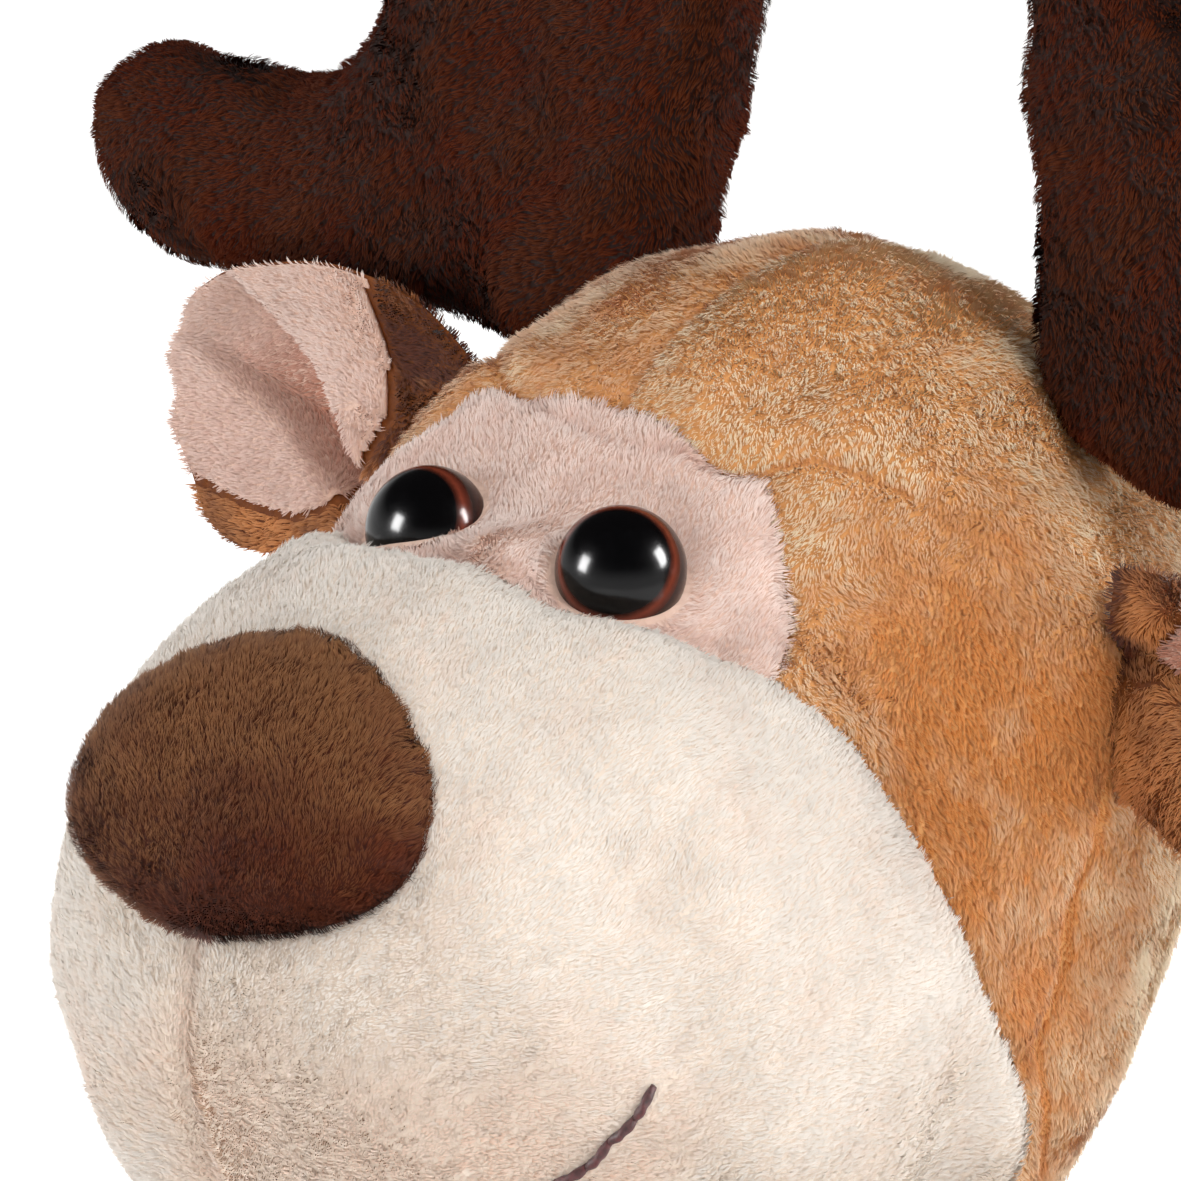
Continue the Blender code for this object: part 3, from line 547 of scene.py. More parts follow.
def grow(name, kind, body, roots, *shape, tone_and_shade, mottle=0.05, **look):
    """Mesh strands of pile, in pieces of limited size. shape and look are what blades() takes."""
    points, shading, tint, patchy = blades(roots, *shape, **look)
    # Each strand's share of its second colours holds a tone and, on some pieces, painted shade
    tone_and_shade = np.clip(tone_and_shade + mottle * patchy, 0, 1)
    pieces = math.ceil(len(roots) / STRANDS_PER_PIECE)
    order = np.argsort(roots[:, 0] + 0.37 * roots[:, 2], kind="stable")
    for number, chosen in enumerate(np.array_split(order, pieces), 1):
        base = (np.arange(len(chosen)) * 5)[:, None]
        item = make_piece(name if pieces == 1 else f"{name}_{number}", points[chosen].reshape(-1, 3),
                          (base + np.array((0, 2, 3, 1)), base + np.array((2, 4, 3))),
                          PILES[kind], body, SLOTS[kind])
        strand_layers(item.data, tint[chosen], tone_and_shade[chosen], shading[chosen])


# Head

def ball_reach(directions, centre, radii):
    """How far a ball's surface lies from the head's heart in each direction."""
    start = (HEART - centre) / radii
    way = directions / radii
    a = (way * way).sum(-1)
    b = (way * start).sum(-1)
    c = (start * start).sum() - 1
    return (-b + np.sqrt(b * b - a * c)) / a


def seam_direction(around, away):
    around, away = np.radians(around), np.radians(away)
    return np.stack([np.sin(away) * np.cos(around), -np.cos(away),
                     np.sin(away) * np.sin(around)], -1)


def seam_angles(around):
    """How far from the nose the muzzle's seam and the tan cover's seam lie, in degrees."""
    mirrored = np.where(around > 90, 180 - around, around)
    inner = smooth_curve(MUZZLE_SEAM, mirrored)[:, 0]
    outer = smooth_curve(PATCH_SEAM, np.maximum(mirrored, PATCH_CORNER))[:, 0]
    outer = outer + FAR_PATCH_TURN * step(102, 118, around) * step(160, 135, around)
    corner = step(PATCH_CORNER, PATCH_CORNER + 2, mirrored)
    return inner, inner + np.maximum(outer - inner, 0) * corner


def valley_depth(directions, widen=1.0):
    """How deep the seams and creases pull the fabric in, towards the heart, in metres."""
    depth = np.zeros(directions.shape[:-1])
    flat = directions.reshape(-1, 3)
    for line, deep, wide, sides in VALLEYS:
        for side in sides:
            knots = unit(MUZZLE + np.array(line) * MM * (side, 1, 1) - HEART)
            far = line_distance(flat, knots) * HEAD_RADIUS / (wide * widen * MM)
            own = deep * MM * np.exp(-far ** 2)
            depth = np.maximum(depth, own.reshape(depth.shape))
    return depth


def parting(points):
    """1 in the heart of a seam or crease of the head, 0 away from it."""
    return np.clip(valley_depth(unit(points - HEART), 0.35) / 0.0009, 0, 1)


def head_reach(directions, detail=True):
    """How far the head's surface lies from its heart in each direction."""
    muzzle = ball_reach(directions, MUZZLE, MUZZLE_RADII)
    cranium = ball_reach(directions, CRANIUM, CRANIUM_RADII)
    near = np.maximum(HEAD_BLEND - np.abs(muzzle - cranium), 0) / HEAD_BLEND
    reach = np.maximum(muzzle, cranium) + near * near * HEAD_BLEND / 4
    for side in BOTH:
        towards = unit(MUZZLE + mirrored(EYE_OFFSET, side) - HEART)
        reach = reach - EYE_HOLLOW * lobe(directions, towards, EYE_HOLLOW_ANGLE)
    for place, swell, spread, sides in HEAD_SWELLS:
        for side in sides:
            reach = reach + swell * MM * lobe(directions, unit(mirrored(place, side)), spread)
    if detail:
        reach = reach - valley_depth(directions)
        reach = reach + 0.00035 * waves(directions * HEAD_RADIUS, 0.016, 5)
    return reach


def above_head(points):
    """How far points lie outside the head's plain surface."""
    return np.linalg.norm(points - HEART, axis=1) - head_reach(unit(points - HEART), False)


def head_at(directions, lift=0.0, detail=True):
    return HEART + directions * (head_reach(directions, detail) + lift)[..., None]


def region(low, high, around, rows, closed, sewn=(1, 1)):
    """A shell of head fabric between two seams, dipping where it is sewn."""
    shares = np.linspace(0, 1, rows)[:, None]
    away = low + (high - low) * shares
    directions = seam_direction(around + 0 * away, away)
    near_low = np.exp(-((away - low) / 2.2) ** 2) * sewn[0]
    near_high = np.exp(-((high - away) / 2.2) ** 2) * sewn[1]
    dip = 0.0009 * np.maximum(near_low, near_high)
    front = head_at(directions, -HEAD_PILE - dip)
    back = head_at(directions, -HEAD_PILE - dip - 0.0008)
    return shell(front[:, ::-1], back[:, ::-1], closed)


around = np.linspace(-90, 270, 300, endpoint=False)
inner, outer = seam_angles(around)
muzzle_skin = cover("muzzle_skin", "muzzle_cover",
                    region(np.full(300, 0.05), inner - SEAM_GAP, around, 90, True, (0, 1)), "cream", "head")
head_skin = cover("head_skin", "head_cover",
                  region(outer + SEAM_GAP, np.full(300, 179.95), around, 120, True, (1, 0)), "tan", "head")
span = np.linspace(PATCH_CORNER + 0.6, 179.4 - PATCH_CORNER, 150)
low, high = seam_angles(span)
patch_skin = cover("patch_skin", "face_patch",
                   region(low + SEAM_GAP, np.maximum(high, low + 0.3) - SEAM_GAP, span, 50, False),
                   "pink", "head")


def angles_of(points):
    """Angles round and away from the nose's axis, in degrees."""
    way = unit(points - HEART)
    away = np.degrees(np.arccos(np.clip(-way[:, 1], -1, 1)))
    around = np.degrees(np.arctan2(way[:, 2], way[:, 0]))
    return np.where(around < -90, around + 360, around), away


azimuth, elevation = math.radians(VIEW_AZIMUTH), math.radians(VIEW_ELEVATION)
BACKWARD = np.array((math.sin(azimuth) * math.cos(elevation),
                     -math.cos(azimuth) * math.cos(elevation), math.sin(elevation)))
RIGHTWARD = np.array((math.cos(azimuth), math.sin(azimuth), 0.0))
UPWARD = np.cross(BACKWARD, RIGHTWARD)


def towards_view(normals):
    """1 where a surface can be seen closely in the photograph, 0 on the far sides."""
    return step(-0.35, 0.0, normals @ BACKWARD)


def finer(low, high):
    """A density of strands that grows towards the surfaces seen in the photograph."""
    def density(points, normals):
        return low + (high - low) * towards_view(normals)

    return density


def outward(points, normals):
    """Which faces of the head's shells look away from its heart."""
    return ((points - HEART) * normals).sum(1) > 0


def spots(points, table):
    """The strongest of some soft spots, given as (x, y, z, radius) in mm and a strength."""
    value = np.zeros(len(points))
    for x, y, z, radius, strength in table:
        for side in BOTH:
            centre = MUZZLE + np.array((x * side, y, z)) * MM
            far = np.linalg.norm(points - centre, axis=1) / (radius * MM)
            value = np.maximum(value, strength * np.exp(-far * far))
    return value


def eye_place(side):
    """An eye's centre, and the direction that it faces."""
    facing = unit(np.array(EYE_FACING if side > 0 else FAR_EYE_FACING))
    shift = np.array(FAR_EYE_SHIFT) if side < 0 else 0
    return MUZZLE + mirrored(EYE_OFFSET, side) + shift + facing * EYE_LIFT, facing


def off_eyes(points, reach):
    """Which points lie further than this from both eyes' centres."""
    return np.all([np.linalg.norm(points - eye_place(side)[0], axis=1) > reach for side in BOTH], axis=0)


def radial_off_eyes(points):
    """Vectors away from each eye's centre, which fade within a few millimetres of its rim."""
    total = np.zeros(points.shape)
    for side in BOTH:
        away = points - eye_place(side)[0]
        total += unit(away) * step(0.0085, 0.0060, np.linalg.norm(away, axis=1))[:, None]
    return total


def front_on(x, z, lift, detail=True):
    """Points of the muzzle in front of (x, z), both from the muzzle's centre."""
    a, b, c = MUZZLE_RADII
    y = -b * np.sqrt(1 - (x / a) ** 2 - (z / c) ** 2)
    towards = unit(MUZZLE + np.stack([x, y, z], -1) - HEART)
    return head_at(towards, lift, detail)


nose_half = np.array(NOSE_OUTLINE)
nose_edge = np.concatenate([nose_half, nose_half[1:-1][::-1] * (-1, 1)])
mouth_flat = np.array(MOUTH_LINE)
mouth_run = run_along(mouth_flat)
mouth_dense = smooth_curve(np.column_stack([mouth_run, mouth_flat]), np.linspace(0, mouth_run[-1], 90))
mouth_path = front_on(mouth_dense[:, 0], mouth_dense[:, 1], -HEAD_PILE)


def muzzle_pile():
    """The cream pile, which runs from the nose up and back, and sideways on the chin."""
    roots, normals = sample(muzzle_skin, finer(3.5, 20.0), outward)
    flat = roots - MUZZLE
    under_nose = inside_outline(flat[:, [0, 2]], nose_edge * 0.93 + (0, 0.0014 + NOSE_RISE))
    clear = ~(under_nose & (flat[:, 1] < 0)) & off_eyes(roots, 0.0058)
    roots, normals, flat = roots[clear], normals[clear], flat[clear]
    around, away = angles_of(roots)
    fringe = step(5.0, 0.5, seam_angles(around)[0] - away)
    chin = step(0.006, -0.012, flat[:, 2])[:, None]
    even = np.ones(len(roots))
    sideways = np.stack([np.tanh(flat[:, 0] / 0.004) * 0.75, even * 0.55, even * 0.6], -1)
    flow = np.array((0.0, 0.75, 0.62)) * (1 - chin) + sideways * chin
    from_nose = unit(roots - (MUZZLE + (0, -0.043, 0.018)))
    flow = unit(flow + (0.35 - 0.25 * chin) * from_nose + 0.18 * tangled(roots, 0.02, 31))
    # Painted warm shade: peach low on the front and along the line under the nose, most on the +x side, over
    # a random tone
    peach_shade = step(0.012, -0.010, flat[:, 2]) * step(-0.012, -0.032, flat[:, 1]) * 0.85
    peach_shade = np.maximum(peach_shade, 0.8 * np.exp(-(flat[:, 0] / 0.0018) ** 2) * (flat[:, 2] < 0.012))
    peach_shade = peach_shade * (0.3 + 0.7 * step(-0.005, 0.0, flat[:, 0])) + 0.10 * waves(roots, 0.014, 41)
    short = 0.45 + 0.55 * step(0.0004, 0.0016, line_distance(roots, mouth_path))
    grow("muzzle_pile", "cream", "head", roots, normals, flow + radial_off_eyes(roots),
         0.00088 * (1 + 0.15 * fringe) * short, 0.00026 - 0.00015 * towards_view(normals),
         lean=57 + 6 * fringe, tone_and_shade=peach_shade, mottle=0.10, rough=0.5)


def patch_pile():
    """The pink pile, which fans out from between the eyes."""
    roots, normals = sample(patch_skin, finer(3.5, 20.0), outward)
    clear = off_eyes(roots, 0.0064)
    roots, normals = roots[clear], normals[clear]
    around, away = angles_of(roots)
    fringe = step(4.0, 0.5, seam_angles(around)[1] - away)
    middle = MUZZLE + (0.0, -0.004, 0.040)
    flow = unit(roots - middle) * (0.5 + 0.7 * fringe[:, None]) + np.array((0.0, 0.25, 0.8))
    flow = unit(flow) + 0.22 * tangled(roots, 0.008, 51) + 2.0 * radial_off_eyes(roots)
    # The darker pink is laid on a little at random, and more in the seams and creases as painted shade
    grow("patch_pile", "pink", "head", roots, normals, flow, 0.00085 * (1 + 0.45 * fringe),
         0.00026 - 0.00015 * towards_view(normals), lean=57 + 6 * fringe,
         tone_and_shade=0.08 + 0.06 * waves(roots, 0.010, 61) + 0.25 * parting(roots))


muzzle_pile()
patch_pile()

# Where the tan pile is painted more orange, as painted shade of pile turned from the light: x, y, z and
# radius in mm, and how much
ORANGE_SHADE_SPOTS = ((34, 18, 31, 11, 1.0), (41, 31, 24, 11, 0.8), (35, 26, 37, 9, 0.8),
                (30, 17, 38, 8, 0.6), (40, 15, 13, 9, 0.4), (42, 24, -2, 9, 0.4),
                (38, 13, 18, 7, 0.45))


def tan_tone_and_shade(points):
    """How orange the head's tan pile is: painted shade on the cheeks, left of the dart and in some spots,
    over a random tone.
    """
    flat = points - MUZZLE
    cheek_shade = step(0.036, 0.018, flat[:, 2]) * step(0.046, 0.032, flat[:, 1])
    # The far half of the crown, painted more orange as painted shade
    left = step(0.001, -0.001, flat[:, 0]) * step(0.030, 0.040, flat[:, 2])
    return (0.04 + 0.48 * cheek_shade + 0.48 * left + spots(points, ORANGE_SHADE_SPOTS) + 0.10 * waves(points, 0.008, 71)
            + 0.06 * waves(points, 0.0022, 72))


# Nose

def nose_points(shares, turns):
    """The stuffed nose pad: a dome over its outline, with stitch dents round its rim."""
    count = len(nose_edge)
    knots = np.arange(-3, count + 4)
    rim = smooth_curve(np.column_stack([knots, np.take(nose_edge, knots, 0, mode="wrap")]), turns * count)
    middle = np.array((0.0, nose_edge[:, 1].mean()))
    flat = middle + (rim[None] - middle) * shares[:, None, None] + (0, NOSE_RISE)
    height = np.sqrt(np.maximum(1 - shares ** 2.6, 0))[:, None]
    dents = 0.5 + 0.5 * np.cos(2 * math.pi * turns * NOSE_STITCHES)
    dents = 0.0005 * dents[None] * np.exp(-((1 - shares) / 0.10) ** 2)[:, None]
    fuller = 1 + 0.6 * step(0.002, -0.014, flat[..., 0])
    lift = 0.0002 + 0.0052 * height * fuller - dents
    return front_on(flat[..., 0], flat[..., 1], lift - NOSE_PILE, False)


def nose_shell():
    shares = np.concatenate([np.linspace(0.01, 0.9, 26), [0.93, 0.955, 0.975, 0.99, 1.0]])
    front = nose_points(shares, np.linspace(0, 1, 160, endpoint=False))
    ways = unit(front - HEART)
    back = HEART + ways * (head_reach(ways, False) - HEAD_PILE - 0.0003)[..., None]
    return shell(front[:, ::-1], back[:, ::-1], True)


def nose_pile():
    """Brown pile that runs up the nose and fans out at the rim. It is painted paler at the top and darker
    and redder low down, most on its +x side: painted light and shade.
    """
    roots, normals = sample(nose_skin, finer(6.0, 32.0), outward)
    clear = above_head(roots) > -HEAD_PILE + 0.0001
    roots, normals = roots[clear], normals[clear]
    flat = (roots - MUZZLE)[:, [0, 2]] - (0, NOSE_RISE)
    fringe = step(0.0035, 0.0, line_distance(flat, np.concatenate([nose_edge, nose_edge[:1]])))
    spread = flat - (0.0, 0.020)
    even = np.ones(len(roots))
    flow = unit(np.stack([spread[:, 0] * 12, even * 0.25, even * 0.95], -1))
    flow = flow + 0.16 * tangled(roots, 0.006, 81)
    flow = flow + fringe[:, None] * np.stack([spread[:, 0], even * 0, spread[:, 1]], -1) * 60
    # Painted shade: darker and redder low down and on the lower +x side, paler at the top, over a random
    # tone
    red_tone_and_shade = 0.30 + 0.12 * waves(roots, 0.008, 91) - 0.3 * step(0.020, 0.030, flat[:, 1])
    red_tone_and_shade = red_tone_and_shade + 0.5 * step(0.019, 0.010, flat[:, 1])
    red_tone_and_shade = red_tone_and_shade + 0.6 * step(-0.002, 0.008, flat[:, 0]) * step(0.027, 0.017, flat[:, 1])
    grow("nose_pile", "nose", "head", roots, normals, flow, 0.0009 + 0.0002 * fringe, 0.00008,
         lean=50, tone_and_shade=red_tone_and_shade, ruffle=0.12, mottle=0.06)


nose_skin = cover("nose_pad", "nose", nose_shell(), "nose", "head")
nose_pile()

# Antlers, as in the part: a cage of cells whose corners are shares of the reach and height
ANTLER_REACH = 0.113
ANTLER_HEIGHT = 0.117
ANTLER_COLUMN_SHARES = ((0.190, 0.191, 0.135, 0.104), (0.395, 0.355, 0.306, 0.288),
                        (0.490, 0.477, 0.410, 0.419), (0.599, 0.623, 0.565, 0.575),
                        (0.767, 0.781), (0.964, 1.0))
ANTLER_ROW_SHARES = (0.332, 0.538, 0.716, 1.0)
ANTLER_CELLS = ("xxxxx", "xxx", "x.x")
ANTLER_THICKNESS = 0.017
ANTLER_DEPTH = 0.0445
ANTLER_LEAN = 0.12


def antler_cage(side):
    """The flat cage of an antler's cells, given a thickness."""
    bm = bmesh.new()
    corners = {}

    def corner(column, row, layer):
        key = (column, row, layer)
        if key not in corners:
            x = ANTLER_COLUMN_SHARES[column][row] * ANTLER_REACH
            z = ANTLER_ROW_SHARES[row] * ANTLER_HEIGHT
            lean = ANTLER_LEAN * (z - ANTLER_ROW_SHARES[0] * ANTLER_HEIGHT)
            y = ANTLER_DEPTH + lean + layer * ANTLER_THICKNESS / 2
            corners[key] = bm.verts.new(MUZZLE + (side * x, y, z))
        return corners[key]

    used = {}
    for row, marks in enumerate(ANTLER_CELLS):
        for column in (i for i, mark in enumerate(marks) if mark == "x"):
            ends = ((column, row), (column + 1, row), (column + 1, row + 1), (column, row + 1))
            for layer in (-1, 1):
                bm.faces.new([corner(c, r, layer) for c, r in ends])
            for a, b in zip(ends, ends[1:] + ends[:1]):
                used.setdefault(frozenset((a, b)), []).append((a, b))
    for sides in used.values():
        if len(sides) == 1:
            (a, b), = sides
            bm.faces.new((corner(*a, -1), corner(*b, -1), corner(*b, 1), corner(*a, 1)))
    bmesh.ops.recalc_face_normals(bm, faces=bm.faces)
    mesh = bpy.data.meshes.new("cage")
    bm.to_mesh(mesh)
    bm.free()
    return mesh


def antler_form(side):
    """A stuffed antler, swollen from its cage, with its foot sunk in the head."""
    points, normals, faces = softened(antler_cage(side), 4)
    lumps = 0.0005 * waves(points, 0.022, 101) + 0.0002 * waves(points, 0.009, 102)
    points = points + normals * (lumps - ANTLER_PILE)[:, None]
    way = unit(points - HEART)
    reach = head_reach(way, False) - HEAD_PILE + 0.0004
    sunk = np.linalg.norm(points - HEART, axis=1) < reach
    return np.where(sunk[:, None], HEART + way * reach[:, None], points), faces


antler_trees = {}
for side, name in SIDES:
    antler = cover(f"antler_skin_{name}", f"antler_{name}", antler_form(side), "brown", "head")
    antler_trees[side] = tree_of(antler)
    roots, normals = sample(antler, finer(3.0, 11.0))
    clear = above_head(roots) > -0.0004
    roots, normals = roots[clear], normals[clear]
    flow = np.array((0.25 * side, 0.0, -1.0)) + 0.30 * tangled(roots, 0.012, 111)
    flow = flow + 0.5 * waves(roots, 0.03, 112)[:, None] * (1.0, 0, 0)
    grow(f"antler_pile_{name}", "brown", "head", roots, normals, flow, 0.0011,
         0.00028 - 0.00014 * towards_view(normals), lean=54, tone_and_shade=0.5 + 0.40 * waves(roots, 0.011, 113),
         every=14, gather=0.35, ruffle=0.2, mottle=0.1, rough=1.0, seed=4)


def head_pile():
    """The tan pile, which runs down and back, clear of the eyes and the antlers."""
    roots, normals = sample(head_skin, finer(3.0, 18.0), outward)
    flat = (roots - MUZZLE) / MM
    clear = off_eyes(roots, 0.0060)
    for side, tree in antler_trees.items():
        near = (np.abs(flat[:, 1] - 45) < 17) & (flat[:, 2] > 30) & (flat[:, 0] * side > 5)
        index = np.flatnonzero(near)
        clear[index] &= ~inside(tree, roots[index] + normals[index] * 0.0006, 0.0002)
    roots, normals = roots[clear], normals[clear]
    around, away = angles_of(roots)
    fringe = step(3.0, 0.3, away - seam_angles(around)[1])
    even = np.ones(len(roots))
    flow = np.stack([0.12 * np.sign(roots[:, 0] + 1e-9), even * -0.22, even * -0.93], -1)
    flow = unit(flow) + 0.22 * tangled(roots, 0.012, 121)
    # Seams and creases are painted more orange, as painted shade, and their pile is shorter
    parted = parting(roots)
    # The orange on the tan pile is painted shade, over a random tone
    grow("head_pile", "tan", "head", roots, normals, flow,
         0.00105 * (1 - 0.35 * fringe) * (1 - 0.45 * parted),
         0.00027 - 0.00015 * towards_view(normals), lean=52 - 14 * fringe,
         tone_and_shade=tan_tone_and_shade(roots) + 0.7 * parted, gather=0.22, seed=2)


head_pile()

# Ears
EAR_LENGTH = 0.052
# Half widths of each ear over and under its middle line, by share of its length
EAR_WIDTHS = {1: (((0.0, 0.0095), (0.3, 0.0122), (0.6, 0.0160), (0.8, 0.0147), (0.92, 0.0106),
                   (0.985, 0.0041)),
                  ((0.0, 0.0105), (0.3, 0.0132), (0.6, 0.0160), (0.8, 0.0147), (0.92, 0.0106),
                   (0.985, 0.0041))),
              -1: (((0.0, 0.0020), (0.12, 0.0075), (0.22, 0.0138), (0.35, 0.0166),
                    (0.6, 0.0162), (0.8, 0.0132), (0.92, 0.0086), (0.985, 0.0035)),
                   ((0.0, 0.0088), (0.3, 0.0118), (0.6, 0.0143), (0.8, 0.0133), (0.92, 0.0098),
                    (0.985, 0.0041)))}
EAR_CUPS = ((0.0, 0.0), (0.12, 0.002), (0.35, 0.0070), (1.0, 0.003))
EAR_FURROWS = {1: 0.0022, -1: 0.0052}
# For each ear: root, droop in degrees, and tip, turn and half opening of its fold
EAR_SHAPES = {1: ((0.0383, 0.0360, 0.0258), 1.0, (45.0, 28.0), 10.0, 24.0),
              -1: ((0.0365, 0.0375, 0.0320), 4.0, (60.7, 24.5), 38.0, 11.5)}
# Outline of each ear's lining from the front, in mm
PINK_EDGES = {1: np.array(((44.2, 28.2), (49.6, 33.4), (52, 38), (58, 56), (82, 56), (94, 42),
                           (94, 20), (80, 15.5), (66, 14), (56, 21), (49.6, 26.7))),
              -1: np.array(((59, 24.5), (55, 31), (54.4, 38), (54.4, 47), (55, 58), (75, 56),
                            (94, 44), (94, 24), (84.6, 20), (75, 19.3), (66, 19.6), (62, 21.6)))}


def fold_place(flat, side):
    """Run along an ear's fold from its tip, distance off its middle line and half width, in mm."""
    _, _, tip, turn, opening = EAR_SHAPES[side]
    turn = math.radians(turn)
    way = np.array((math.cos(turn), math.sin(turn)))
    run = (flat - tip) @ way
    off = (flat - tip) @ np.array((-way[1], way[0]))
    return run, off, 0.7 + np.maximum(run, 0) * math.tan(math.radians(opening))


def ear_grid(side, lift, rows=64, columns=72):
    """One face of an ear: a cupped leaf with a fold running in from its root."""
    shares = np.linspace(0.04, 0.985, rows)
    above, below = (smooth_curve(table, shares) for table in EAR_WIDTHS[side])
    cups = smooth_curve(EAR_CUPS, shares)
    root, droop = EAR_SHAPES[side][:2]
    droop = math.radians(droop)
    along = np.array((side * math.cos(droop), 0.0, -math.sin(droop)))
    across = np.array((side * math.sin(droop), 0.0, math.cos(droop)))
    root = MUZZLE + mirrored(root, side)
    places = np.sin(np.linspace(-math.pi / 2, math.pi / 2, columns))[None]
    widths = np.where(places > 0, above, below)
    points = (root + along * EAR_LENGTH * shares[:, None, None]
              + (places * widths)[..., None] * across)
    flat = (points - MUZZLE)[..., [0, 2]] / MM * (side, 1)
    run, off, wide = fold_place(flat, side)
    fold = step(wide + 2.6, wide - 0.4, np.abs(off)) * step(30, 20, run)
    furrow = EAR_FURROWS[side] * fold * (1 - 0.45 * step(0, 20, run))
    rise = cups * places ** 2 + 0.0012 * (1 - places ** 2) - furrow
    taper = 1 - 0.75 * places ** 6
    points[..., 1] -= rise + lift * taper + 0.0006 * waves(points, 0.02, 131)
    return points, flat


def masked_shell(front, back, keep):
    """A closed shell over the kept quads of two grids."""
    size = front.shape[0] * front.shape[1]
    faces = grid_faces(*front.shape[:2], False)
    kept = faces[keep[:-1, :-1].ravel() & keep[1:, 1:].ravel()]
    edges = dict.fromkeys((a, b) for face in kept for a, b in zip(face, np.roll(face, -1)))
    rim = np.array([(b, a, a + size, b + size) for a, b in edges if (b, a) not in edges])
    points = np.concatenate([front.reshape(-1, 3), back.reshape(-1, 3)])
    parts = [kept, kept[:, ::-1] + size, rim]
    used = np.unique(np.concatenate([p.ravel() for p in parts]))
    index = np.zeros(len(points), int)
    index[used] = np.arange(len(used))
    return points[used], [index[p] for p in parts]


def outer_ear_skin(side, name):
    turn = slice(None, None, -side)
    front, _ = ear_grid(side, 0.0006)
    back, _ = ear_grid(side, -0.0010)
    return cover(f"ear_outer_skin_{name}", f"ear_outer_{name}",
                 shell(front[:, turn], back[:, turn], False), "ear", f"ear_{name}")


def inner_ear_skin(side, name):
    """The lining, cut to its outline out of a face of the ear."""
    turn = slice(None, None, -side)
    front, flat = ear_grid(side, 0.0012)
    back, _ = ear_grid(side, 0.0007)
    rows, columns = flat.shape[:2]
    off_middle = np.abs(np.sin(np.linspace(-math.pi / 2, math.pi / 2, columns)))
    pink = inside_outline(flat.reshape(-1, 2), PINK_EDGES[side]).reshape(rows, columns)
    pink = pink & (off_middle < 0.985)[None]
    return cover(f"ear_inner_skin_{name}", f"ear_inner_{name}",
                 masked_shell(front[:, turn], back[:, turn], pink[:, turn]), "pink", f"ear_{name}")


def to_the_front(points, normals):
    return normals[:, 1] < -0.12


def ear_middle(side):
    return MUZZLE + (side * 0.064, 0.028, 0.033)


def inner_ear_pile(skin, side, name):
    """Pink pile, darker in the fold, which is painted shade, and low down."""
    roots, normals = sample(skin, finer(5.0, 16.0), to_the_front)
    flow = unit(roots - ear_middle(side)) + (0.6 * side, 0, 0.2) + 0.2 * tangled(roots, 0.01, 141)
    own = (roots - MUZZLE)[:, [0, 2]] / MM * (side, 1)
    run, off, wide = fold_place(own, side)
    # Painted shade in the fold
    deep = step(3.0, -1.0, np.abs(off) - wide) * step(32, 10, run)
    low = step(0.042, 0.026, (roots - MUZZLE)[:, 2])
    grow(f"ear_inner_pile_{name}", "pink", f"ear_{name}", roots, normals, flow, 0.0009, 0.00013,
         lean=58, tone_and_shade=0.05 + 0.32 * low + 0.6 * deep, ruffle=0.1, mottle=0.04, rough=0.4)


def outer_ear_pile(skin, lining, side, name):
    """Brown pile, with a painted shadow over the far ear's top and painted shade at the near ear's root."""
    tree = tree_of(lining)
    roots, normals = sample(skin, finer(4.0, 18.0))
    clear = (above_head(roots) > -0.0010) & ~beside(tree, roots, 0.0009)
    roots, normals = roots[clear], normals[clear]
    flow = unit(roots - ear_middle(side)) + (0.8 * side, 0, 0) + 0.25 * tangled(roots, 0.01, 151)
    own = (roots - MUZZLE) * (side, 1, 1)
    # Painted shadow over the far ear's top, painted shade at the near ear's root
    ear_shade = (0.9 * step(0.022, 0.036, own[:, 2]) if side < 0
            else 0.8 * step(0.0440, 0.0405, own[:, 0]))
    grow(f"ear_outer_pile_{name}", "ear", f"ear_{name}", roots, normals, flow, 0.0010, 0.00013,
         lean=54, tone_and_shade=0.25 + 0.2 * waves(roots, 0.01, 152) + ear_shade, gather=0.25, ruffle=0.2, mottle=0.1)


for side, name in SIDES:
    outer_ear = outer_ear_skin(side, name)
    inner_ear = inner_ear_skin(side, name)
    inner_ear_pile(inner_ear, side, name)
    outer_ear_pile(outer_ear, inner_ear, side, name)


# Eyes

def turned(name, side, profile, sides, material, slot):
    """A closed solid turned round an eye's axis from (radius, height) steps."""
    centre, facing = eye_place(side)
    across = unit(np.cross(facing, (0.0, 0.0, 1.0)))
    upward = np.cross(across, facing)
    turn = 2 * math.pi * np.arange(sides) / sides
    circle = np.cos(turn)[:, None] * across + np.sin(turn)[:, None] * upward
    loops = [centre + facing * height + circle * max(radius, 1e-5) for radius, height in profile]
    faces = grid_faces(len(loops), sides, True)
    item = make_piece(name, np.concatenate(loops), (faces[:, ::-1],), material, "head", slot)
    close_ends(item)
    item.data.polygons.foreach_set("use_smooth", np.ones(len(item.data.polygons), bool))
    return item


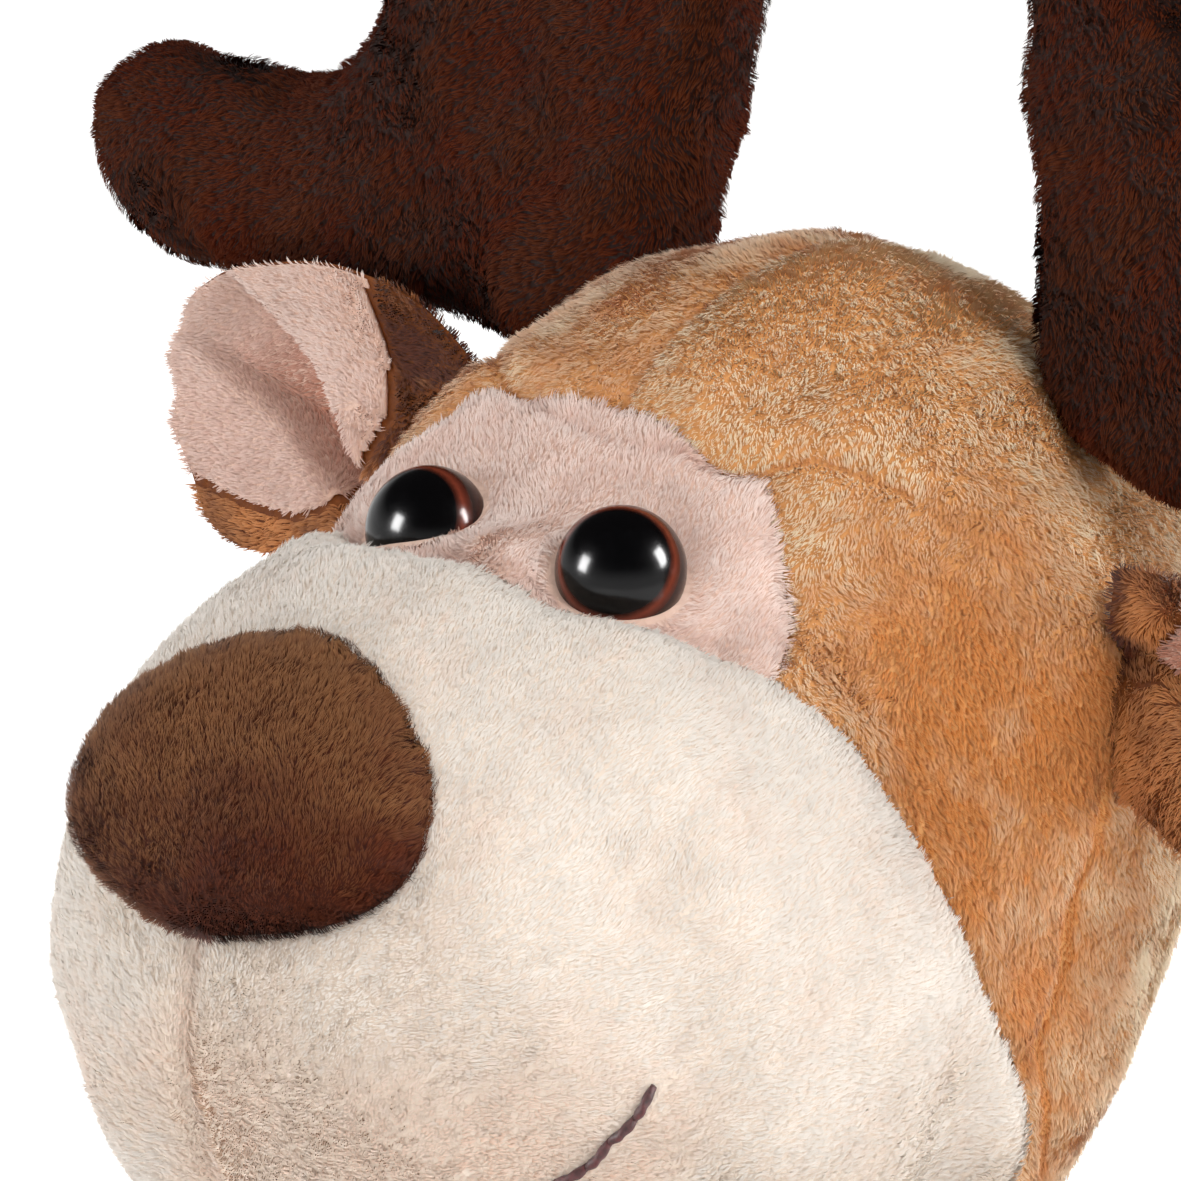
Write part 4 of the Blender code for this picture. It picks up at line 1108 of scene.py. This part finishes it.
def eye_material():
    """Black pupil and red-brown iris under a clear gloss; a dark band and a paler rim at the edge are
    painted shade and a painted highlight of the clear dome's edge.
    """
    n = new_material("eye_plastic")
    ring = n.add("Attribute", attribute_name="ring").outputs["Fac"]
    streaks = n.noise(900.0, 4.0, 0.7)
    place = n.maths("ADD", ring, n.maths("MULTIPLY", n.maths("SUBTRACT", streaks, 0.5), 0.02))
    # The dark band near 0.965 and the paler rim are painted shade and a painted highlight
    colour = n.ramp(place, ((0.0, srgb(4, 4, 5)), (0.80, srgb(5, 4, 5)), (0.83, srgb(60, 24, 15)),
                            (0.88, srgb(112, 50, 34)), (0.93, srgb(76, 32, 22)), (0.965, srgb(24, 10, 8)),
                            (0.985, srgb(44, 20, 16))))
    shade = n.spread(streaks, 0.8, 1.2)
    colour = n.add("HueSaturation", {"Color": colour, "Value": shade}).outputs["Color"]
    return n.finish(Base_Color=colour, Roughness=n.spread(streaks, 0.16, 0.22), Specular_IOR_Level=0.22,
                    Coat_Weight=0.12, Coat_Roughness=0.12)


eye_skin = eye_material()
for side, name in SIDES:
    arc = np.radians(np.linspace(89.5, 0, 40))
    dome = [(EYE_RADIUS * math.cos(a), EYE_DOME * math.sin(a)) for a in arc]
    rim = [(0.00602, -0.0003), (0.00595, -0.0008), (0.0056, -0.0012), (0.0001, -0.0012)]
    eye = turned(f"eye_dome_{name}", side, dome + rim, 96, eye_skin, "eye_plastic")
    centre, facing = eye_place(side)
    off = read_mesh(eye)[0] - centre
    flat = off - (off @ facing)[:, None] * facing
    layer = eye.data.attributes.new("ring", "FLOAT", "POINT")
    layer.data.foreach_set("value", (np.linalg.norm(flat, axis=1) / EYE_RADIUS).astype(np.float32))
    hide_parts(f"eye_{name}")


# Mouth

def thread_material():
    n = new_material("mouth_thread")
    ply = n.noise(1400.0, 3.0)
    colour = n.ramp(ply, ((0.3, srgb(44, 14, 14)), (0.6, srgb(84, 34, 36)), (0.85, srgb(120, 62, 60))))
    bump = n.add("Bump", {"Height": ply, "Strength": 0.4, "Distance": 0.0002})
    return n.finish(Base_Color=colour, Roughness=n.spread(ply, 0.5, 0.7), Sheen_Weight=0.2,
                    Normal=bump.outputs["Normal"])


def along_path(at, along, values):
    """Values given along a path, read at other places on it."""
    return np.stack([np.interp(at, along, values[:, i]) for i in range(3)], -1)


def stitches(path, normals):
    """Short twisted stitches laid end over end along a path."""
    along = run_along(path)
    count = round(along[-1] / STITCH_LENGTH)
    rings, sides = 15, 10
    share = np.linspace(0, 1, rings)
    turn = 2 * math.pi * np.arange(sides) / sides
    ply = 1 + 0.13 * np.cos(2 * turn[None] - 2 * math.pi * share[:, None] * 2.6)
    thick = STITCH_RADIUS * np.sqrt(np.clip(1 - (2 * share - 1) ** 4, 0.02, 1))
    points, faces = [], []
    for number in range(count):
        start = (number - 0.10) * along[-1] / count
        end = (number + 1.10) * along[-1] / count
        at = np.clip(start + (end - start) * share, 0, along[-1])
        centre = along_path(at, along, path)
        up = unit(along_path(at, along, normals))
        sideways = np.cross(unit(np.gradient(centre, axis=0)), up)
        centre = centre + up * (0.0005 * np.sin(math.pi * share) + 0.00035 * share)[:, None]
        centre = centre + sideways * (0.00022 * np.cos(math.pi * share) * (-1) ** number)[:, None]
        ring = (np.cos(turn)[None, :, None] * sideways[:, None] + np.sin(turn)[None, :, None] * up[:, None])
        grid = centre[:, None] + ring * (thick[:, None] * ply)[..., None]
        points.append(grid.reshape(-1, 3))
        faces.append(grid_faces(rings, sides, True) + number * rings * sides)
    return np.concatenate(points), [np.concatenate(faces)]


mouth_up = unit(mouth_path - HEART)
mouth = make_piece("mouth_stitches", *stitches(mouth_path + mouth_up * 0.0003, mouth_up),
                   thread_material(), "head", "embroidery_thread")
close_ends(mouth)
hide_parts("mouth_thread")

# Body: the covers as the CAD has them, softened, with pile on their outer sides

ARM_KNOTS = ((0.022, -0.001, 0.094), (0.043, -0.009, 0.084), (0.061, -0.022, 0.068),
             (0.074, -0.037, 0.051))
LEG_KNOTS = ((0.022, -0.012, 0.0225), (0.032, -0.048, 0.0215), (0.041, -0.078, 0.0215),
             (0.048, -0.104, 0.0230))


def dressed(node, name, kind, body):
    """A softened copy of a CAD cover, which replaces it."""
    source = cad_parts[node].data.copy()
    bm = bmesh.new()
    bm.from_mesh(source)
    bmesh.ops.remove_doubles(bm, verts=bm.verts, dist=1e-6)
    bm.to_mesh(source)
    bm.free()
    points, normals, faces = softened(source, 2)
    points = points + normals * (0.0004 * waves(points, 0.02, 161))[:, None]
    points[:, 2] = np.maximum(points[:, 2], 0.0)
    return cover(name, node, (points, faces), kind, body)


def limb_side(knots, side):
    """Keep the roots on a limb's outer side, away from the line through its middle."""
    line = smooth_curve(np.column_stack([np.linspace(0, 1, 4), mirrored(knots, side)]),
                        np.linspace(0, 1.25, 60))

    def outer(points, normals):
        far = np.linalg.norm(points[:, None] - line[None], axis=2)
        nearest = line[far.argmin(1)]
        return ((points - nearest) * normals).sum(1) > 0.3 * np.linalg.norm(points - nearest, axis=1)

    return outer


def torso_side(points, normals):
    radial = points * (1, 1, 0)
    return (((radial * normals).sum(1) > 0.25 * np.linalg.norm(radial, axis=1))
            | ((normals[:, 2] < -0.6) & (points[:, 2] < 0.001)))


def tail_side(points, normals):
    return points[:, 1] > 0.047


def body_pile(name, kind, body, roots, normals, flow, wave_seed, length=0.0015, uneven=0.10, lean=54,
              gather=0.3):
    """Short pile of the guessed body, all of one width and much the same tone."""
    grow(name, kind, body, roots, normals, flow, length, BODY_STRAND_WIDTH, lean=lean, gather=gather,
         tone_and_shade=0.42 + uneven * waves(roots, 0.012, wave_seed), ruffle=0.2, rough=0.7)


torso = dressed("torso_cover", "torso_skin", "tan", "torso")
roots, normals = sample(torso, 4.5, torso_side)
flow = np.array((0.0, 0.0, -1.0)) + 0.2 * tangled(roots, 0.015, 171) + roots * (8, 8, 0)
body_pile("torso_pile", "tan", "torso", roots, normals, flow, 172)
for side, name in SIDES:
    for limb, knots in (("arm", ARM_KNOTS), ("leg", LEG_KNOTS)):
        for part, kind in (("cover", "tan"), ("hoof", "brown")):
            body = f"{limb}_{name}"
            skin = dressed(f"{limb}_{part}_{name}", f"{limb}_{part}_skin_{name}", kind, body)
            roots, normals = sample(skin, BODY_STRANDS, limb_side(knots, side))
            way = np.array(knots[-1]) - np.array(knots[0])
            flow = unit(way * (side, 1, 1)) + 0.22 * tangled(roots, 0.012, 181)
            body_pile(f"{limb}_{part}_pile_{name}", kind, body, roots, normals, flow, 182)
tail = dressed("tail", "tail_skin", "tan", "torso")
roots, normals = sample(tail, BODY_STRANDS, tail_side)
flow = np.array((0.0, 0.7, 0.3)) + 0.2 * tangled(roots, 0.01, 191)
body_pile("tail_pile", "tan", "torso", roots, normals, flow, 182, length=0.0018, uneven=0, lean=50,
          gather=0.25)


# Fillings and washers that stay as the CAD has them

def washer_material():
    n = new_material("washer_plastic")
    grain = n.noise(700.0)
    return n.finish(Base_Color=n.ramp(grain, ((0.3, srgb(214, 214, 210)), (0.7, srgb(232, 232, 228)))),
                    Roughness=n.spread(grain, 0.35, 0.5))


def filling(node, item, body):
    """A filling in the shape of its CAD node, which it replaces. The head's stays under its skin."""
    points, _, _ = read_mesh(item)
    if body == "head":
        way = unit(points - HEART)
        limit = head_reach(way) - HEAD_PILE - 0.0024
        points = HEART + way * np.minimum(np.linalg.norm(points - HEART, axis=1), limit)[:, None]
    kind, slot = ("bag", "bag_cloth") if node == "pellet_bag" else ("fibre", "fibre_fill")
    fill = make_piece(node + "_fill", points, by_corners(item.data), BACKINGS[kind], body, slot)
    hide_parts(node)


def open_end(towards, depth=0.012):
    """Keep the roots at the end of a lining that faces one way."""
    def outer(points, normals):
        along = points @ towards
        return (normals @ towards > 0.5) & (along > along.max() - depth)

    return outer


def lining(node, item, body, towards):
    """The turned-in fabric that closes a cover's open ends over its filling."""
    points, normals, _ = read_mesh(item)
    skin = make_piece(node.replace("stuffing", "lining"), points + 0.0003 * normals,
                      by_corners(item.data), BACKINGS["tan"], body, SLOTS["tan"])
    roots, normals = sample(skin, BODY_STRANDS, open_end(unit(towards)))
    flow = np.array((0.0, -0.5, -0.6)) + 0.4 * tangled(roots, 0.010, 183)
    body_pile(node.replace("stuffing", "lining_pile"), "tan", body, roots, normals, flow, 182,
              length=0.0011, gather=0.25)


plastic = washer_material()
for node, item in list(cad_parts.items()):
    limb, side = node[:3], node.rsplit("_", 1)[-1]
    if node.startswith("washer"):
        item.data.materials.clear()
        item.data.materials.append(plastic)
    elif node == "head_stuffing":
        filling(node, item, "head")
    elif node == "pellet_bag":
        filling(node, item, "torso")
    elif node == "torso_stuffing":
        filling(node, item, "torso")
        lining(node, item, "torso", np.array((0.0, 0.0, 1.0)))
    elif "stuffing" in node:
        knots = np.array(ARM_KNOTS if limb == "arm" else LEG_KNOTS)
        filling(node, item, f"{limb}_{side}")
        lining(node, item, f"{limb}_{side}", (knots[0] - knots[1]) * (1 if side == "left" else -1, 1, 1))


# Floor, light and camera

def white_where_seen(n, seen, plain):
    """A plain shader, mixed with one that the camera, gloss and glass see."""
    path = n.add("LightPath").outputs
    mirrored = n.maths("MAXIMUM", path["Is Glossy Ray"], path["Is Transmission Ray"])
    share = n.maths("MAXIMUM", path["Is Camera Ray"], mirrored)
    return n.add("MixShader", {0: share, 1: plain, 2: seen}).outputs[0]


def light_world():
    """A soft pale sky, which the camera sees as white near the horizon."""
    n = Nodes(bpy.data.worlds.new("studio"))
    height = n.add("SeparateXYZ", {0: n.add("TexCoord").outputs["Generated"]}).outputs["Z"]
    ground = n.tree.nodes["Background"]
    n.set(ground, "Strength", WORLD_STRENGTH)
    n.set(ground, "Color", n.ramp(height, ((0.0, (1.0, 0.985, 0.965, 1)), (1.0, (0.50, 0.49, 0.48, 1)))))
    fade = n.ramp(height, ((0.10, (1, 1, 1, 1)), (0.42, (0.03, 0.03, 0.03, 1))))
    seen = n.add("Background", {"Color": fade})
    n.set(n.tree.nodes["World Output"], "Surface",
          white_where_seen(n, seen.outputs[0], ground.outputs[0]))
    return n.owner


def paper():
    """The floor's pale paper, with a glow that only the camera, gloss and glass see."""
    n = new_material("paper")
    n.finish(Base_Color=(0.86, 0.86, 0.86, 1), Roughness=0.9, Specular_IOR_Level=0.1)
    plain = n.shader.outputs[0]
    glow = n.add("Emission", {"Strength": FLOOR_GLOW}).outputs[0]
    both = n.add("AddShader", {0: plain, 1: glow}).outputs[0]
    n.set(n.tree.nodes["Material Output"], "Surface", white_where_seen(n, both, plain))
    return n.owner


def softbox(name, turn, rise, distance, wide, tall, watts):
    """A rectangular lamp that faces the head from an azimuth and an elevation."""
    lamp = bpy.data.lights.new(name, "AREA")
    lamp.shape = "RECTANGLE"
    lamp.size, lamp.size_y = wide, tall
    lamp.energy = watts
    turn, rise = math.radians(turn), math.radians(rise)
    way = Vector((math.sin(turn) * math.cos(rise), -math.cos(turn) * math.cos(rise), math.sin(rise)))
    item = bpy.data.objects.new(name, lamp)
    item.location = Vector(MUZZLE) + way * distance
    item.rotation_euler = way.to_track_quat("Z", "Y").to_euler()
    scene.collection.objects.link(item)
    return item


scene = bpy.context.scene
scene.world = light_world()
floor_mesh = bpy.data.meshes.new("floor")
bm = bmesh.new()
bmesh.ops.create_circle(bm, cap_ends=True, radius=12.0, segments=96)
bm.to_mesh(floor_mesh)
bm.free()
floor_mesh.materials.append(paper())
floor = bpy.data.objects.new("floor", floor_mesh)
scene.collection.objects.link(floor)

# Name, azimuth, elevation, distance, width, height and watts of each lamp
for lamp in (("softbox_side", 82, 35, 1.3, 0.42, 0.56, 7.5),
             ("softbox_left", -50, -2, 1.3, 0.42, 0.40, 6.8),
             ("softbox_back", 135, 0, 1.3, 0.42, 0.40, 5.5),
             ("softbox_top", 100, 68, 1.5, 0.9, 0.9, 4.6),
             ("softbox_low", 20, 1, 1.2, 0.60, 0.22, 3.4)):
    softbox(*lamp).visible_glossy = False
for lamp in (("catchlight_left", -25, 22, 1.3, 0.36, 0.46, 24.0),
             ("catchlight_right", 122, 28, 1.3, 0.40, 0.54, 34.0)):
    softbox(*lamp).visible_diffuse = False

camera = bpy.data.cameras.new("camera")
camera.lens = LENS
camera.sensor_width = 36.0
camera.clip_start = 0.01
eye = bpy.data.objects.new("camera", camera)
target = MUZZLE + RIGHTWARD * VIEW_TARGET[0] + UPWARD * VIEW_TARGET[1]
turn = Matrix((RIGHTWARD, UPWARD, BACKWARD)).transposed().to_4x4()
eye.matrix_world = Matrix.Translation(target + BACKWARD * VIEW_DISTANCE) @ turn
scene.collection.objects.link(eye)
scene.camera = eye
scene.view_settings.view_transform = "Standard"
